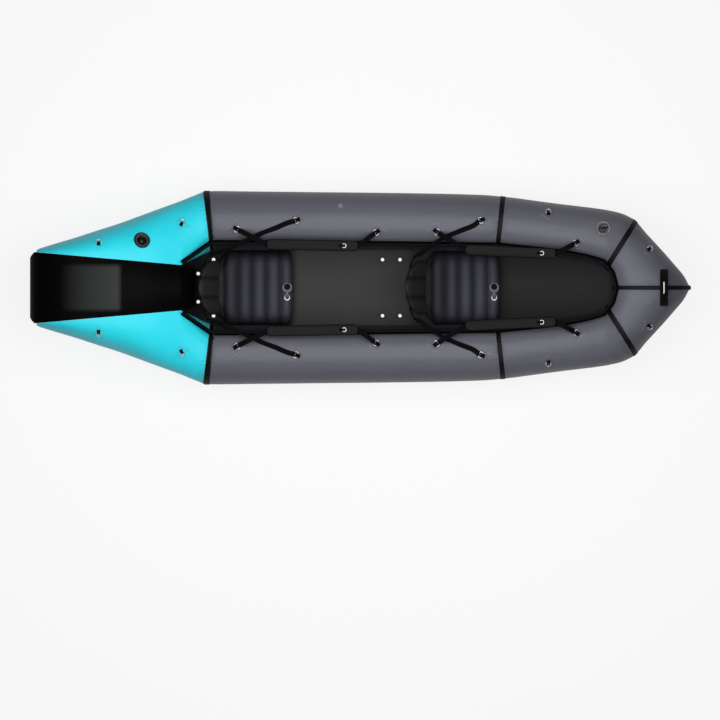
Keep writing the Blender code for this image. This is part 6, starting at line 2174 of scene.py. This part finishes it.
class PACKRAFT_OT_thigh_straps(PackraftPiece, bpy.types.Operator):
    """Padded straps with their rings"""

    bl_idname = "packraft.thigh_straps"
    bl_label = "Thigh straps"
    make = staticmethod(make_thigh_straps)


class PACKRAFT_OT_anchors(PackraftPiece, bpy.types.Operator):
    """Patches, tabs and wire loops"""

    bl_idname = "packraft.anchors"
    bl_label = "Strap anchors"
    make = staticmethod(make_anchors)


class PACKRAFT_OT_rings(PackraftPiece, bpy.types.Operator):
    """D-rings with their patches"""

    bl_idname = "packraft.rings"
    bl_label = "Tie-down rings"
    make = staticmethod(make_rings)


class PACKRAFT_OT_main_valves(PackraftPiece, bpy.types.Operator):
    """Inflation and top-up valves"""

    bl_idname = "packraft.main_valves"
    bl_label = "Hull valves"
    make = staticmethod(make_main_valves)


class PACKRAFT_OT_seat_valves(PackraftPiece, bpy.types.Operator):
    """Seat valves with their plugs"""

    bl_idname = "packraft.seat_valves"
    bl_label = "Seat valves"
    make = staticmethod(make_seat_valves)


class PACKRAFT_OT_handle(PackraftPiece, bpy.types.Operator):
    """Webbing handle on the bow"""

    bl_idname = "packraft.handle"
    bl_label = "Bow handle"
    make = staticmethod(make_handle)


class PACKRAFT_OT_stage(PackraftPiece, bpy.types.Operator):
    """Floor, lamps, air and camera"""

    bl_idname = "packraft.stage"
    bl_label = "Stage"
    make = staticmethod(make_stage)


OPERATORS = (
    PACKRAFT_OT_materials,
    PACKRAFT_OT_chambers,
    PACKRAFT_OT_deck,
    PACKRAFT_OT_tapes,
    PACKRAFT_OT_coaming,
    PACKRAFT_OT_floor,
    PACKRAFT_OT_seats,
    PACKRAFT_OT_backrests,
    PACKRAFT_OT_backrest_straps,
    PACKRAFT_OT_thigh_straps,
    PACKRAFT_OT_anchors,
    PACKRAFT_OT_rings,
    PACKRAFT_OT_main_valves,
    PACKRAFT_OT_seat_valves,
    PACKRAFT_OT_handle,
    PACKRAFT_OT_stage,
)


class PACKRAFT_PT_panel(bpy.types.Panel):
    """Lists the settings and the pieces in the order that they are made."""

    bl_label = "Packraft"
    bl_idname = "PACKRAFT_PT_panel"
    bl_space_type = "VIEW_3D"
    bl_region_type = "UI"
    bl_category = "Packraft"

    def draw(self, context):
        for name in PackraftSettings.__annotations__:
            self.layout.prop(context.scene.packraft, name)
        for operator in OPERATORS:
            self.layout.operator(operator.bl_idname)


CLASSES = (PackraftSettings, *OPERATORS, PACKRAFT_PT_panel)


def register():
    for item in CLASSES:
        bpy.utils.register_class(item)
    bpy.types.Scene.packraft = PointerProperty(type=PackraftSettings)


def unregister():
    del bpy.types.Scene.packraft
    for item in reversed(CLASSES):
        bpy.utils.unregister_class(item)


def plain(value):
    return [[float(x) for x in corner] for corner in value]


def main():
    register()
    for operator in OPERATORS:
        getattr(bpy.ops.packraft, operator.bl_idname.split(".")[1])()


if __name__ == "__main__":
    main()
